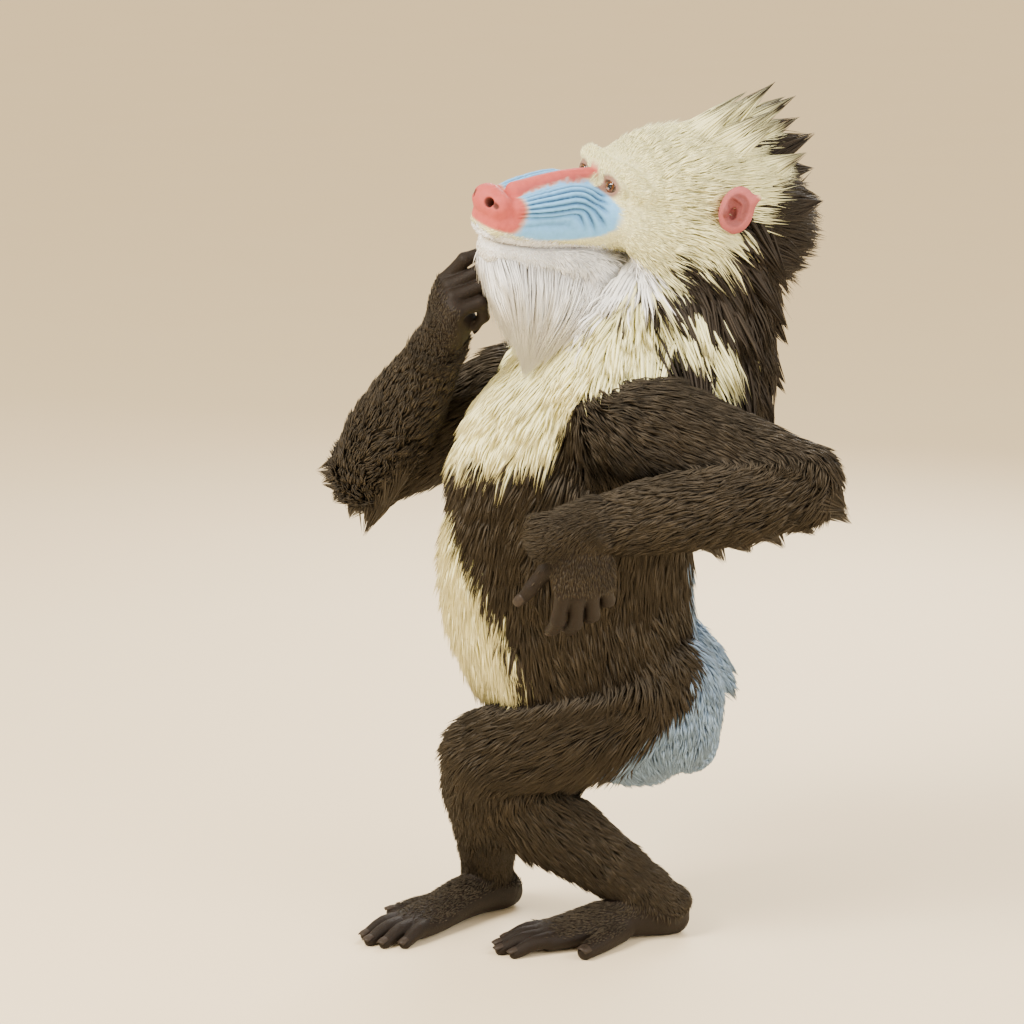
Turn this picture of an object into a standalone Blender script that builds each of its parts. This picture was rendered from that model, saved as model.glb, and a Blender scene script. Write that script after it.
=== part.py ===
# Adult male mandrill, standing upright with its legs crossed, one elbow held back and one hand at its chin.
# The solids reach to the tips of the coat. Metres, +Z up, the animal faces -Y and its left side is at +X.
import math

import bmesh
import bpy
from mathutils import Matrix, Vector

# Lengths of the limb bones between joint centres
upper_arm_length = 0.192
forearm_length = 0.238
thigh_length = 0.206
shank_length = 0.192

# How the head is carried on the neck, in degrees
head_turn = 16
head_lift = 10
head_tilt = 14
head_scale = 1.05

seam = 0.0005  # clear width between neighbouring solids
sole_level = 0.0

coat_brown = (0.06, 0.038, 0.022)
coat_cream = (0.72, 0.68, 0.45)
coat_white = (0.9, 0.9, 0.88)
skin_blue = (0.36, 0.6, 0.78)
skin_red = (0.72, 0.28, 0.25)
skin_dark = (0.045, 0.032, 0.025)
eye_brown = (0.12, 0.05, 0.015)


def clear_scene():
    for thing in list(bpy.data.objects):
        bpy.data.objects.remove(thing)


def finish(name, colour, roughness):
    material = bpy.data.materials.new(name)
    material.use_nodes = True
    shader = material.node_tree.nodes["Principled BSDF"]
    shader.inputs["Base Color"].default_value = (*colour, 1)
    shader.inputs["Roughness"].default_value = roughness
    shader.inputs["Metallic"].default_value = 0
    return material


sides = ((1, "left"), (-1, "right"))

# Joint centres of the skeleton
hip = {1: Vector((0.066, 0.048, 0.292)), -1: Vector((-0.066, 0.048, 0.292))}
shoulder = {1: Vector((0.118, -0.012, 0.588)), -1: Vector((-0.118, -0.03, 0.592))}
skull = Vector((0, 0.062, 0.788))


def reach(start, towards, length):
    return start + (Vector(towards) - start).normalized() * length


elbow = {
    1: reach(shoulder[1], (0.208, 0.145, 0.532), upper_arm_length),
    -1: reach(shoulder[-1], (-0.200, -0.220, 0.480), upper_arm_length + 0.025),
}
wrist = {
    1: reach(elbow[1], (0.184, -0.096, 0.492), forearm_length),
    -1: reach(elbow[-1], (-0.048, -0.176, 0.636), forearm_length),
}
knee = {
    1: reach(hip[1], (0.010, -0.138, 0.216), thigh_length),
    -1: reach(hip[-1], (-0.018, -0.096, 0.168), thigh_length),
}
ankle = {
    1: reach(knee[1], (-0.106, -0.096, 0.048), shank_length),
    -1: reach(knee[-1], (0.038, 0.046, 0.046), shank_length),
}
head_frame = (
    Matrix.Translation(skull)
    @ Matrix.Rotation(math.radians(head_turn), 4, "Z")
    @ Matrix.Rotation(math.radians(-head_lift), 4, "X")
    @ Matrix.Rotation(math.radians(head_tilt), 4, "Y")
    @ Matrix.Scale(head_scale, 4)
)


def smooth_path(stations, steps):
    # A rounded line through stations of (centre, half width, half depth)
    rows = [[*centre, width, depth] for centre, width, depth in stations]
    rows = [Vector(row) for row in rows]
    ends = [rows[0] * 2 - rows[1], *rows, rows[-1] * 2 - rows[-2]]
    out = []
    for before, start, end, after in zip(ends, ends[1:], ends[2:], ends[3:]):
        for step in range(steps):
            t = step / steps
            bend = (end - before) * t + (before * 2 - start * 5 + end * 4 - after) * t * t
            bend += (start * 3 - before - end * 3 + after) * t**3
            out.append(start + bend * 0.5)
    return out + [rows[-1]]


def sweep(mesh, stations, side=(1, 0, 0), corners=18, steps=4, blunt=0.8, place=None):
    # A closed tube of elliptical rings with rounded ends
    rows = smooth_path(stations, steps)
    centres = [Vector(row[:3]) for row in rows]
    rings = []
    for index, row in enumerate(rows):
        tangent = centres[min(index + 1, len(rows) - 1)] - centres[max(index - 1, 0)]
        tangent.normalize()
        across = Vector(side) - tangent * tangent.dot(Vector(side))
        across.normalize()
        rings.append((centres[index], tangent, across, max(row[3], 0.0006), max(row[4], 0.0006)))

    def cap(ring, direction):
        centre, tangent, across, width, depth = ring
        made = []
        for turn in (30, 55, 75):
            angle = math.radians(turn)
            shift = tangent * direction * min(width, depth) * blunt * math.sin(angle)
            shrink = math.cos(angle)
            made.append((centre + shift, tangent, across, width * shrink, depth * shrink))
        tip = centre + tangent * direction * min(width, depth) * blunt
        return made, tip

    first, tail_tip = cap(rings[0], -1)
    last, head_tip = cap(rings[-1], 1)
    rings = first[::-1] + rings + last
    place = place or Matrix.Identity(4)
    rows_of_points = []
    for centre, tangent, across, width, depth in rings:
        over = tangent.cross(across)
        row = []
        for corner in range(corners):
            angle = 2 * math.pi * corner / corners
            point = centre + across * width * math.cos(angle) + over * depth * math.sin(angle)
            row.append(mesh.verts.new(place @ point))
        rows_of_points.append(row)
    for low, high in zip(rows_of_points, rows_of_points[1:]):
        for corner in range(corners):
            after = (corner + 1) % corners
            mesh.faces.new((low[corner], low[after], high[after], high[corner]))
    bottom = mesh.verts.new(place @ tail_tip)
    top = mesh.verts.new(place @ head_tip)
    for corner in range(corners):
        after = (corner + 1) % corners
        mesh.faces.new((bottom, rows_of_points[0][after], rows_of_points[0][corner]))
        mesh.faces.new((top, rows_of_points[-1][corner], rows_of_points[-1][after]))


def ball(mesh, centre, radii, place=None):
    shape = Matrix.Translation(centre) @ Matrix.Diagonal((*radii, 1))
    shape = (place or Matrix.Identity(4)) @ shape
    bmesh.ops.create_icosphere(mesh, subdivisions=3, radius=1, matrix=shape)


def lock(mesh, root, tip, width, thick, side=(1, 0, 0), place=None):
    # A pointed lock of hair, fullest a third of the way along
    root, tip = Vector(root), Vector(tip)
    shape = [
        (root, width, thick),
        (root.lerp(tip, 0.35), width * 0.95, thick * 0.95),
        (root.lerp(tip, 0.7), width * 0.55, thick * 0.55),
        (tip, width * 0.08, thick * 0.08),
    ]
    sweep(mesh, shape, side=side, corners=12, steps=3, place=place)


def object_of(name, data):
    made = bpy.data.objects.new(name, data)
    bpy.context.scene.collection.objects.link(made)
    return made


def evaluated(thing):
    bpy.context.view_layer.update()
    graph = bpy.context.evaluated_depsgraph_get()
    return bpy.data.meshes.new_from_object(thing.evaluated_get(graph))


def melted(name, draw, voxel, rounds, triangles):
    # All that draw() adds, melted into one closed surface of about so many triangles
    mesh = bmesh.new()
    draw(mesh)
    data = bpy.data.meshes.new(name)
    mesh.to_mesh(data)
    mesh.free()
    thing = object_of(name, data)
    remesh = thing.modifiers.new("melt", "REMESH")
    remesh.mode = "VOXEL"
    remesh.voxel_size = voxel
    relax = thing.modifiers.new("relax", "SMOOTH")
    relax.factor = 0.5
    relax.iterations = rounds
    full = evaluated(thing)
    corners = sum(len(face.vertices) - 2 for face in full.polygons)
    thin = thing.modifiers.new("thin", "DECIMATE")
    thin.ratio = min(1, triangles / corners)
    thin.use_collapse_triangulate = True
    take_shape(thing)
    return thing


def take_shape(thing):
    data = evaluated(thing)
    thing.modifiers.clear()
    thing.data = data


def cut_by(thing, cutter):
    step = thing.modifiers.new("cut", "BOOLEAN")
    step.operation = "DIFFERENCE"
    step.solver = "EXACT"
    step.object = cutter
    take_shape(thing)


def grown(thing):
    # The shape that a neighbour has to stay out of, larger by the seam
    data = thing.data.copy()
    mesh = bmesh.new()
    mesh.from_mesh(data)
    mesh.normal_update()
    for vertex, normal in [(vertex, vertex.normal.copy()) for vertex in mesh.verts]:
        vertex.co += normal * seam
    mesh.to_mesh(data)
    mesh.free()
    return object_of("around_" + thing.name, data)


def box(centre, normal, half, thickness):
    # A block whose flat middle plane passes through centre, across normal
    turn = Vector(normal).to_track_quat("Z", "Y").to_matrix().to_4x4()
    size = Matrix.Diagonal((2 * half, 2 * half, thickness, 1))
    mesh = bmesh.new()
    bmesh.ops.create_cube(mesh, size=1, matrix=Matrix.Translation(centre) @ turn @ size)
    data = bpy.data.meshes.new("block")
    mesh.to_mesh(data)
    mesh.free()
    return object_of("block", data)


def slit(thing, centre, normal, half):
    block = box(Vector(centre), normal, half, seam)
    cut_by(thing, block)
    bpy.data.objects.remove(block)


def trim(thing, centre, normal, half, depth=0.12):
    # Takes away what lies beyond the plane, up to half a seam before it
    normal = Vector(normal).normalized()
    block = box(Vector(centre) + normal * (depth / 2 - seam / 2), normal, half, depth)
    cut_by(thing, block)
    bpy.data.objects.remove(block)
    keep_largest(thing)


def islands(data):
    mesh = bmesh.new()
    mesh.from_mesh(data)
    mesh.verts.ensure_lookup_table()
    seen = set()
    found = []
    for start in mesh.verts:
        if start.index in seen:
            continue
        seen.add(start.index)
        group = [start]
        for vertex in group:
            for edge in vertex.link_edges:
                other = edge.other_vert(vertex)
                if other.index not in seen:
                    seen.add(other.index)
                    group.append(other)
        found.append({vertex.index for vertex in group})
    mesh.free()
    return found


def piece_of(name, data, group):
    mesh = bmesh.new()
    mesh.from_mesh(data)
    gone = [vertex for vertex in mesh.verts if vertex.index not in group]
    bmesh.ops.delete(mesh, geom=gone, context="VERTS")
    made = bpy.data.meshes.new(name)
    mesh.to_mesh(made)
    mesh.free()
    return made


def spread_of(data, group):
    points = [data.vertices[index].co for index in group]
    low = [min(p[axis] for p in points) for axis in range(3)]
    high = [max(p[axis] for p in points) for axis in range(3)]
    return (Vector(high) - Vector(low)).length


def keep_largest(thing):
    found = islands(thing.data)
    if len(found) > 1:
        largest = max(found, key=lambda group: spread_of(thing.data, group))
        thing.data = piece_of(thing.name, thing.data, largest)


def part_into(thing, anchors):
    # Names each loose part after the anchor point nearest to its middle, and drops crumbs
    thing.name = "uncut"
    made = []
    big = [group for group in islands(thing.data) if spread_of(thing.data, group) > 0.02]
    for name, anchor in anchors.items():
        def distance(group):
            middle = sum((thing.data.vertices[i].co for i in group), Vector()) / len(group)
            return (middle - Vector(anchor)).length
        nearest = min(big, key=distance)
        big.remove(nearest)
        made.append(object_of(name, piece_of(name, thing.data, nearest)))
        if not big:
            break
    bpy.data.objects.remove(thing)
    return made


# Trunk, and the mane that lies over it

spine = [  # height, y of the middle, half width, half depth
    (0.196, 0.056, 0.050, 0.040),
    (0.232, 0.036, 0.088, 0.076),
    (0.275, 0.008, 0.104, 0.110),
    (0.330, -0.021, 0.108, 0.134),
    (0.385, -0.037, 0.110, 0.145),
    (0.440, -0.038, 0.118, 0.145),
    (0.505, -0.022, 0.127, 0.133),
    (0.565, 0.012, 0.126, 0.118),
    (0.620, 0.040, 0.108, 0.090),
]
mane = [  # the same, for the long hair of the neck and shoulders
    (0.600, 0.058, 0.128, 0.108),
    (0.640, 0.072, 0.128, 0.116),
    (0.700, 0.088, 0.112, 0.112),
    (0.760, 0.092, 0.104, 0.104),
]
bib = [  # the same, for the pale hair from the throat down over the breast
    (0.720, 0.000, 0.066, 0.040),
    (0.668, -0.024, 0.084, 0.046),
    (0.620, -0.050, 0.100, 0.056),
    (0.572, -0.080, 0.104, 0.066),
    (0.525, -0.104, 0.088, 0.066),
    (0.500, -0.108, 0.066, 0.056),
]
mane_tips = [  # where the locks of the mane end on the shoulders and back
    (0.160, -0.010, 0.580),
    (0.168, 0.052, 0.566),
    (0.136, 0.120, 0.560),
    (0.076, 0.168, 0.548),
    (0.000, 0.186, 0.536),
    (-0.076, 0.168, 0.548),
    (-0.136, 0.120, 0.560),
    (-0.168, 0.052, 0.566),
    (-0.160, -0.010, 0.580),
]


def column(mesh, rows):
    sweep(mesh, [((0, y, z), width, depth) for z, y, width, depth in rows], corners=26)


def draw_trunk(mesh):
    column(mesh, spine)
    for side in (1, -1):
        ball(mesh, (0.088 * side, -0.006, 0.578), (0.064, 0.074, 0.062))
        ball(mesh, (0.054 * side, 0.060, 0.266), (0.054, 0.062, 0.076))
        ball(mesh, (0.032 * side, 0.092, 0.222), (0.032, 0.034, 0.042))


def draw_mane(mesh):
    column(mesh, mane)
    column(mesh, bib)
    for tip in mane_tips:
        root = Vector((tip[0] * 0.70, 0.06 + (tip[1] - 0.06) * 0.66, 0.664))
        lock(mesh, root, tip, 0.046, 0.026, side=(tip[1] - 0.06, -tip[0], 0))
    for side in (1, -1):
        sweep(mesh, [((0.068 * side, 0.010, 0.690), 0.040, 0.044), ((0.092 * side, -0.030, 0.625), 0.044, 0.046)])


def draw_tail(mesh):
    lock(mesh, (0, 0.108, 0.322), (0, 0.158, 0.246), 0.021, 0.019)


# Limbs

def limb(joints, radii, side):
    # A limb between two joints, with (share of the way, half width, half depth) rows
    start, end = joints
    return [(start.lerp(end, share), width, depth) for share, width, depth in radii], side


def draw_arm(mesh, side):
    across = (0, 0, 1) if side == 1 else (0.6, -0.6, 0.5)
    upper = [(-0.15, 0.046, 0.048), (0.10, 0.064, 0.066), (0.55, 0.057, 0.056), (1, 0.046, 0.046)]
    lower = [(0, 0.046, 0.046), (0.25, 0.054, 0.054), (0.6, 0.047, 0.045), (1, 0.031, 0.026)]
    lower.append((1.18, 0.029, 0.022))
    for joints, radii in (((shoulder[side], elbow[side]), upper), ((elbow[side], wrist[side]), lower)):
        stations, across = limb(joints, radii, across)
        sweep(mesh, stations, side=across, corners=20)
    # Fringe behind the elbow
    away = (elbow[side] - shoulder[side]).normalized()
    back = (elbow[side] - wrist[side]).normalized()
    length = 0.078 if side == 1 else 0.086
    for drop, along in ((0.5, 0.0), (1.0, 0.03), (1.4, 0.07), (1.6, 0.11)):
        root = elbow[side] - back * along - away * 0.01
        aim = (away * 0.4 + back * 0.5 + Vector((0, 0, -drop))).normalized()
        lock(mesh, root, root + aim * length, 0.027, 0.027)
    if side == -1:
        # Hair that stands off the raised elbow
        lock(mesh, elbow[side], elbow[side] + (away + Vector((0, -0.2, 0.1))) * 0.066, 0.034, 0.034)


def draw_leg(mesh, side):
    thigh = [(0.18, 0.060, 0.066), (0.42, 0.070, 0.078), (0.72, 0.059, 0.066), (1, 0.044, 0.047)]
    shank = [(0, 0.044, 0.047), (0.25, 0.045, 0.050), (0.6, 0.036, 0.040), (1, 0.027, 0.029)]
    shank.append((1.15, 0.025, 0.028))
    for joints, radii in (((hip[side], knee[side]), thigh), ((knee[side], ankle[side]), shank)):
        stations, across = limb(joints, radii, (1, 0, 0))
        sweep(mesh, stations, side=across, corners=20)


# Hands: fingers run along "along", the palm faces "palm", the thumb lies to the side "thumb"

finger_base = [(0.022, 0.066), (0.0075, 0.070), (-0.0075, 0.067), (-0.0215, 0.059)]
finger_bones = [
    (0.033, 0.022, 0.017),
    (0.037, 0.025, 0.018),
    (0.034, 0.023, 0.017),
    (0.028, 0.018, 0.015),
]
finger_width = 0.0088
thumb_bones = (0.030, 0.024, 0.018)
hand_pose = {
    1: {
        "along": (0.05, 0.02, -1),
        "palm": (-1, 0.10, -0.05),
        "curl": [(26, 30, 18), (32, 34, 20), (36, 38, 22), (40, 40, 22)],
        "fan": (-6, 2, 10, 18),
        "thumb": (-0.25, -0.55, -0.80),
    },
    -1: {
        "along": (0.50, 0.02, 0.86),
        "palm": (0.02, 1, 0.12),
        "curl": [(30, 34, 24), (58, 74, 40), (66, 86, 48), (70, 92, 52)],
        "fan": (4, 2, -2, -6),
        "thumb": (0.16, 0.52, 0.82),
    },
}


def hand_axes(side):
    pose = hand_pose[side]
    along = Vector(pose["along"]).normalized()
    palm = Vector(pose["palm"])
    palm = (palm - along * along.dot(palm)).normalized()
    thumb = along.cross(palm) * -side
    return along, palm, thumb


def finger_path(side, number):
    # Joints of one finger from knuckle to tip, bent towards the palm
    along, palm, thumb = hand_axes(side)
    out, forward = finger_base[number]
    point = wrist[side] + along * forward + thumb * out
    fan = math.radians(hand_pose[side]["fan"][number])
    level = (along * math.cos(fan) - thumb * math.sin(fan)).normalized()
    joints = [point - level * 0.012, point]
    bend = 0
    for length, turn in zip(finger_bones[number], hand_pose[side]["curl"][number]):
        bend += math.radians(turn)
        point = point + (level * math.cos(bend) + palm * math.sin(bend)) * length
        joints.append(point)
    return joints, thumb


def draw_hand(mesh, side):
    along, palm, thumb = hand_axes(side)
    base = wrist[side]
    forearm = (base - elbow[side]).normalized()
    stations = [(base - forearm * 0.035, 0.029, 0.025), (base - forearm * 0.006, 0.028, 0.022)]
    stations += [(base + along * 0.022, 0.031, 0.020), (base + along * 0.042, 0.034, 0.018)]
    stations.append((base + along * 0.060, 0.034, 0.015))
    sweep(mesh, stations, side=thumb, corners=20, steps=3)
    sweep(mesh, [(base + along * 0.02 + thumb * 0.018 + palm * 0.006, 0.013, 0.012),
                 (base + along * 0.042 + thumb * 0.024 + palm * 0.008, 0.011, 0.010)], side=thumb)
    for number in range(4):
        joints, across = finger_path(side, number)
        widths = [0.0095, 0.0098, finger_width, 0.0078, 0.0062]
        rows = [(joint, w, w * 0.92) for joint, w in zip(joints, widths)]
        for start, end in zip(rows, rows[1:]):
            sweep(mesh, [start, end], side=across, corners=14, steps=1, blunt=1)
    aim = Vector(hand_pose[side]["thumb"]).normalized()
    point = base + along * 0.020 + thumb * 0.018 + palm * 0.008
    for length, width in zip(thumb_bones, (0.0115, 0.0095, 0.0078)):
        after = point + aim * length
        sweep(mesh, [(point, width, width), (after, width * 0.9, width * 0.9)], corners=14, steps=1, blunt=1)
        point = after
        aim = (aim + palm * 0.12).normalized()


# Feet: long, flat soles with a thumb-like great toe on the inner side

foot_heading = {1: 28, -1: 2}  # degrees from straight ahead, turning to the animal's left
toe_base = [(0.018, 0.122, 0.056), (0.006, 0.128, 0.060), (-0.007, 0.125, 0.058), (-0.019, 0.116, 0.052)]
toe_width = 0.0090


def foot_frame(side):
    turn = Matrix.Rotation(math.radians(foot_heading[side]), 4, "Z")
    return Matrix.Translation((ankle[side].x, ankle[side].y, sole_level)) @ turn


def draw_foot(mesh, side):
    # In the foot's own frame the toes point to -Y, and inner is the side of the great toe
    place = foot_frame(side)
    inner = -side
    tall = ankle[side].z
    leg = place.inverted() @ knee[side]
    joint = Vector((0, 0, tall))
    rise = (leg - joint).normalized()
    shin = [(joint + rise * 0.05, 0.028, 0.030), (joint + rise * 0.012, 0.027, 0.029)]
    sweep(mesh, [*shin, (joint - Vector((0, 0, 0.012)), 0.026, 0.028)], corners=18, place=place)
    sole = [
        ((0, 0.032, 0.016), 0.020, 0.019),
        ((0, 0.018, 0.022), 0.024, 0.025),
        ((0, -0.010, 0.026), 0.025, 0.026),
        ((0, -0.050, 0.022), 0.026, 0.022),
        ((0, -0.090, 0.015), 0.030, 0.018),
        ((0, -0.122, 0.011), 0.031, 0.014),
    ]
    sweep(mesh, sole, corners=20, place=place)
    for out, forward, length in toe_base:
        start = Vector((out * inner, -forward + 0.014, 0.013))
        middle = start + Vector((out * inner * 0.25, -length * 0.55, 0.001))
        end = start + Vector((out * inner * 0.35, -length, -0.0075))
        rows = [(start, 0.0104, 0.0104), (middle, toe_width, 0.0090), (end, 0.0072, 0.0070)]
        sweep(mesh, rows, corners=14, steps=3, blunt=1, place=place)
    great = [
        ((0.016 * inner, -0.040, 0.015), 0.015, 0.015),
        ((0.036 * inner, -0.066, 0.012), 0.0120, 0.0125),
        ((0.053 * inner, -0.094, 0.008), 0.0092, 0.0092),
    ]
    sweep(mesh, great, corners=14, blunt=1, place=place)


# Head, in its own frame: the nose points to -Y and the middle of the skull is the origin

muzzle_tip = -0.205
eye_place = Vector((0.0245, -0.080, 0.028))
eye_radius = 0.0108
ear_place = Vector((0.088, 0.024, 0.038))


def draw_head(mesh):
    def add(stations, side=(1, 0, 0), corners=20, steps=4, blunt=0.8):
        sweep(mesh, stations, side=side, corners=corners, steps=steps, blunt=blunt, place=head_frame)

    # Brain case with its coat
    add([((0, -0.055, 0.026), 0.050, 0.040), ((0, -0.015, 0.030), 0.070, 0.058),
         ((0, 0.035, 0.030), 0.080, 0.068), ((0, 0.085, 0.020), 0.078, 0.070),
         ((0, 0.125, 0.000), 0.062, 0.062)], corners=24)
    # Neck end of the head, hidden in the mane
    add([((0, 0.040, 0.00), 0.085, 0.085), ((0, 0.045, -0.07), 0.090, 0.090),
         ((0, 0.040, -0.13), 0.095, 0.095)])
    # Crest that rises to a peak behind the crown
    for x, y, z, aim_x, aim_y, aim_z in (
        (0, 0.035, 0.070, 0, 0.100, 0.152),
        (0.012, 0.020, 0.068, 0.010, 0.066, 0.134),
        (-0.014, 0.050, 0.068, -0.012, 0.128, 0.134),
        (0.020, 0.080, 0.050, 0.022, 0.150, 0.100),
        (-0.022, 0.085, 0.045, -0.024, 0.165, 0.082),
        (0.025, 0.105, 0.015, 0.030, 0.172, 0.045),
        (-0.020, 0.110, 0.000, -0.020, 0.178, 0.010),
    ):
        lock(mesh, (x, y, z), (aim_x, aim_y, aim_z), 0.030, 0.030, place=head_frame)
    add([((0, 0.000, 0.062), 0.030, 0.022), ((0, 0.045, 0.078), 0.034, 0.030),
         ((0, 0.085, 0.075), 0.030, 0.034)])
    # Muzzle, brow, and the swellings beside the nose
    add([((0, -0.050, -0.002), 0.046, 0.040), ((0, -0.100, -0.010), 0.040, 0.034),
         ((0, -0.150, -0.020), 0.0365, 0.029), ((0, muzzle_tip + 0.020, -0.026), 0.032, 0.025),
         ((0, muzzle_tip + 0.006, -0.028), 0.026, 0.020)], corners=24, blunt=0.5)
    add([((-0.044, -0.068, 0.032), 0.011, 0.010), ((-0.024, -0.082, 0.045), 0.012, 0.011),
         ((0, -0.083, 0.043), 0.013, 0.011), ((0.024, -0.082, 0.045), 0.012, 0.011),
         ((0.044, -0.068, 0.032), 0.011, 0.010)], side=(0, 0, 1), corners=14)
    for side in (1, -1):
        add([((0.019 * side, -0.094, 0.012), 0.011, 0.011), ((0.0215 * side, -0.120, 0.010), 0.017, 0.017),
             ((0.0215 * side, -0.155, 0.000), 0.017, 0.016), ((0.020 * side, -0.184, -0.010), 0.011, 0.011)],
            corners=18)
        # Cheek bone, then the ruff of the cheek
        add([((0.030 * side, -0.074, 0.006), 0.018, 0.018), ((0.052 * side, -0.035, -0.012), 0.024, 0.036),
             ((0.062 * side, 0.020, -0.026), 0.030, 0.054), ((0.060 * side, 0.080, -0.030), 0.030, 0.060)])
        for y, z, aim_y, aim_z in ((0.010, -0.055, 0.075, -0.105), (0.030, -0.030, 0.125, -0.058)):
            lock(mesh, (0.066 * side, y, z), (0.094 * side, aim_y, aim_z), 0.030, 0.018,
                 side=(0, 0, 1), place=head_frame)
    # Bridge and tip of the nose
    add([((0, -0.080, 0.030), 0.009, 0.012), ((0, -0.130, 0.018), 0.008, 0.012),
         ((0, -0.180, 0.000), 0.009, 0.012)], corners=14)
    add([((-0.017, muzzle_tip + 0.004, -0.010), 0.014, 0.013), ((0, muzzle_tip - 0.001, -0.008), 0.016, 0.015),
         ((0.017, muzzle_tip + 0.004, -0.010), 0.014, 0.013)], side=(0, 0, 1), corners=16)


def draw_jaw(mesh):
    def add(stations, side=(1, 0, 0)):
        sweep(mesh, stations, side=side, corners=20, place=head_frame)

    add([((0, muzzle_tip + 0.018, -0.056), 0.023, 0.016), ((0, -0.150, -0.059), 0.032, 0.022),
         ((0, -0.100, -0.062), 0.039, 0.028), ((0, -0.050, -0.066), 0.047, 0.034)])
    # Beard, hanging straight down from the jaw to a point
    root = head_frame @ Vector((0, -0.132, -0.070))
    down = Vector((0.06, 0.04, -1)).normalized()
    rows = [(0, 0.032, 0.052), (0.035, 0.033, 0.048), (0.070, 0.026, 0.034), (0.100, 0.013, 0.016)]
    rows.append((0.122, 0.002, 0.002))
    stations = [(root + down * drop, width, depth) for drop, width, depth in rows]
    sweep(mesh, stations, side=(0.96, 0.27, 0), corners=20)
    for shift, length in ((-0.030, 0.066), (0.030, 0.078)):
        start = root + (head_frame.to_3x3() @ Vector((0, shift, 0))) + down * 0.02
        lock(mesh, start, start + down * length, 0.020, 0.020)


def draw_ear(mesh, side):
    place = head_frame @ Matrix.Translation((ear_place.x * side, ear_place.y, ear_place.z))
    place = place @ Matrix.Rotation(math.radians(-34 * side), 4, "Z")
    ball(mesh, (0, 0, 0), (0.0085, 0.018, 0.024), place)
    ball(mesh, (-0.012 * side, -0.004, -0.004), (0.016, 0.012, 0.015), place)


def hollow_ear(ear, side):
    # The bowl of the ear
    place = head_frame @ Matrix.Translation((ear_place.x * side, ear_place.y, ear_place.z))
    place = place @ Matrix.Rotation(math.radians(-34 * side), 4, "Z")
    bowl = Matrix.Translation((0.0105 * side, -0.002, 0.001)) @ Matrix.Diagonal((0.0080, 0.0115, 0.016, 1))
    mesh = bmesh.new()
    bmesh.ops.create_icosphere(mesh, subdivisions=1, radius=1, matrix=place @ bowl)
    data = bpy.data.meshes.new("bowl")
    mesh.to_mesh(data)
    mesh.free()
    cutter = object_of("bowl", data)
    cut_by(ear, cutter)
    bpy.data.objects.remove(cutter)


def make_eye(name, side, radius):
    mesh = bmesh.new()
    centre = head_frame @ Vector((eye_place.x * side, eye_place.y, eye_place.z))
    bmesh.ops.create_uvsphere(mesh, u_segments=12, v_segments=8, radius=radius, matrix=Matrix.Translation(centre))
    data = bpy.data.meshes.new(name)
    mesh.to_mesh(data)
    mesh.free()
    return object_of(name, data)


def plane_between(start, joint, end):
    # The mitre plane of a bent limb at its joint
    before = (joint - start).normalized()
    after = (end - joint).normalized()
    return (before + after).normalized()


def cut_wrist_and_ankle(whole, side, word):
    forearm = (wrist[side] - elbow[side]).normalized()
    joint = wrist[side] - forearm * 0.014
    trim(whole[f"arm_{word}"], joint, forearm, 0.05)
    trim(whole[f"hand_{word}"], joint, -forearm, 0.05)
    shank = (ankle[side] - knee[side]).normalized()
    joint = ankle[side] - shank * 0.022
    trim(whole[f"leg_{word}"], joint, shank, 0.05)
    foot = whole[f"foot_{word}"]
    trim(foot, joint, -shank, 0.042, depth=0.08)
    trim(foot, (ankle[side].x, ankle[side].y, sole_level), (0, 0, -1), 0.3)


def part_limbs(whole, side, word):
    arm, leg = whole.pop(f"arm_{word}"), whole.pop(f"leg_{word}")
    slit(arm, elbow[side], plane_between(shoulder[side], elbow[side], wrist[side]), 0.3)
    slit(leg, knee[side], plane_between(hip[side], knee[side], ankle[side]), 0.3)
    pieces = part_into(arm, {
        f"upper_arm_{word}": shoulder[side].lerp(elbow[side], 0.5),
        f"forearm_{word}": elbow[side].lerp(wrist[side], 0.5)})
    return pieces + part_into(leg, {
        f"thigh_{word}": hip[side].lerp(knee[side], 0.5),
        f"shank_{word}": knee[side].lerp(ankle[side], 0.5)})


def part_head(whole):
    head = whole.pop("head")
    eyes = []
    for side, word in ((1, "left"), (-1, "right")):
        socket = make_eye("socket", side, eye_radius + seam)
        cut_by(head, socket)
        bpy.data.objects.remove(socket)
        eyes.append(make_eye(f"eye_{word}", side, eye_radius))
    across = head_frame.to_3x3() @ Vector((0, 1, 0.12))
    slit(head, head_frame @ Vector((0, -0.098, 0)), across, 0.09)
    return eyes + part_into(head, {
        "head": head_frame @ Vector((0, 0.03, 0.02)),
        "muzzle": head_frame @ Vector((0, -0.15, -0.01))})


def part_trunk(whole):
    trunk = whole.pop("trunk")
    slit(trunk, (0, -0.03, 0.440), (0, 0, 1), 0.4)
    slit(trunk, (0, 0.0, 0.300), (0, -0.25, 1), 0.4)
    return part_into(trunk, {
        "chest": (0, -0.03, 0.52), "belly": (0, -0.02, 0.37), "pelvis": (0, 0.04, 0.24)})


def paint(nodes):
    looks = {
        "eye": (eye_brown, 0.08),
        "ear": (skin_red, 0.5),
        "muzzle": (skin_blue, 0.45),
        "jaw": (coat_white, 0.8),
        "head": (coat_cream, 0.8),
        "hand": (skin_dark, 0.6),
        "foot": (skin_dark, 0.6),
    }
    for node in nodes:
        word = node.name.split("_")[0]
        node.data.materials.clear()
        node.data.materials.append(finish(node.name, *looks.get(word, (coat_brown, 0.85))))
        node.data.shade_smooth()
        node.data.set_sharp_from_angle(angle=math.radians(45))


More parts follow.
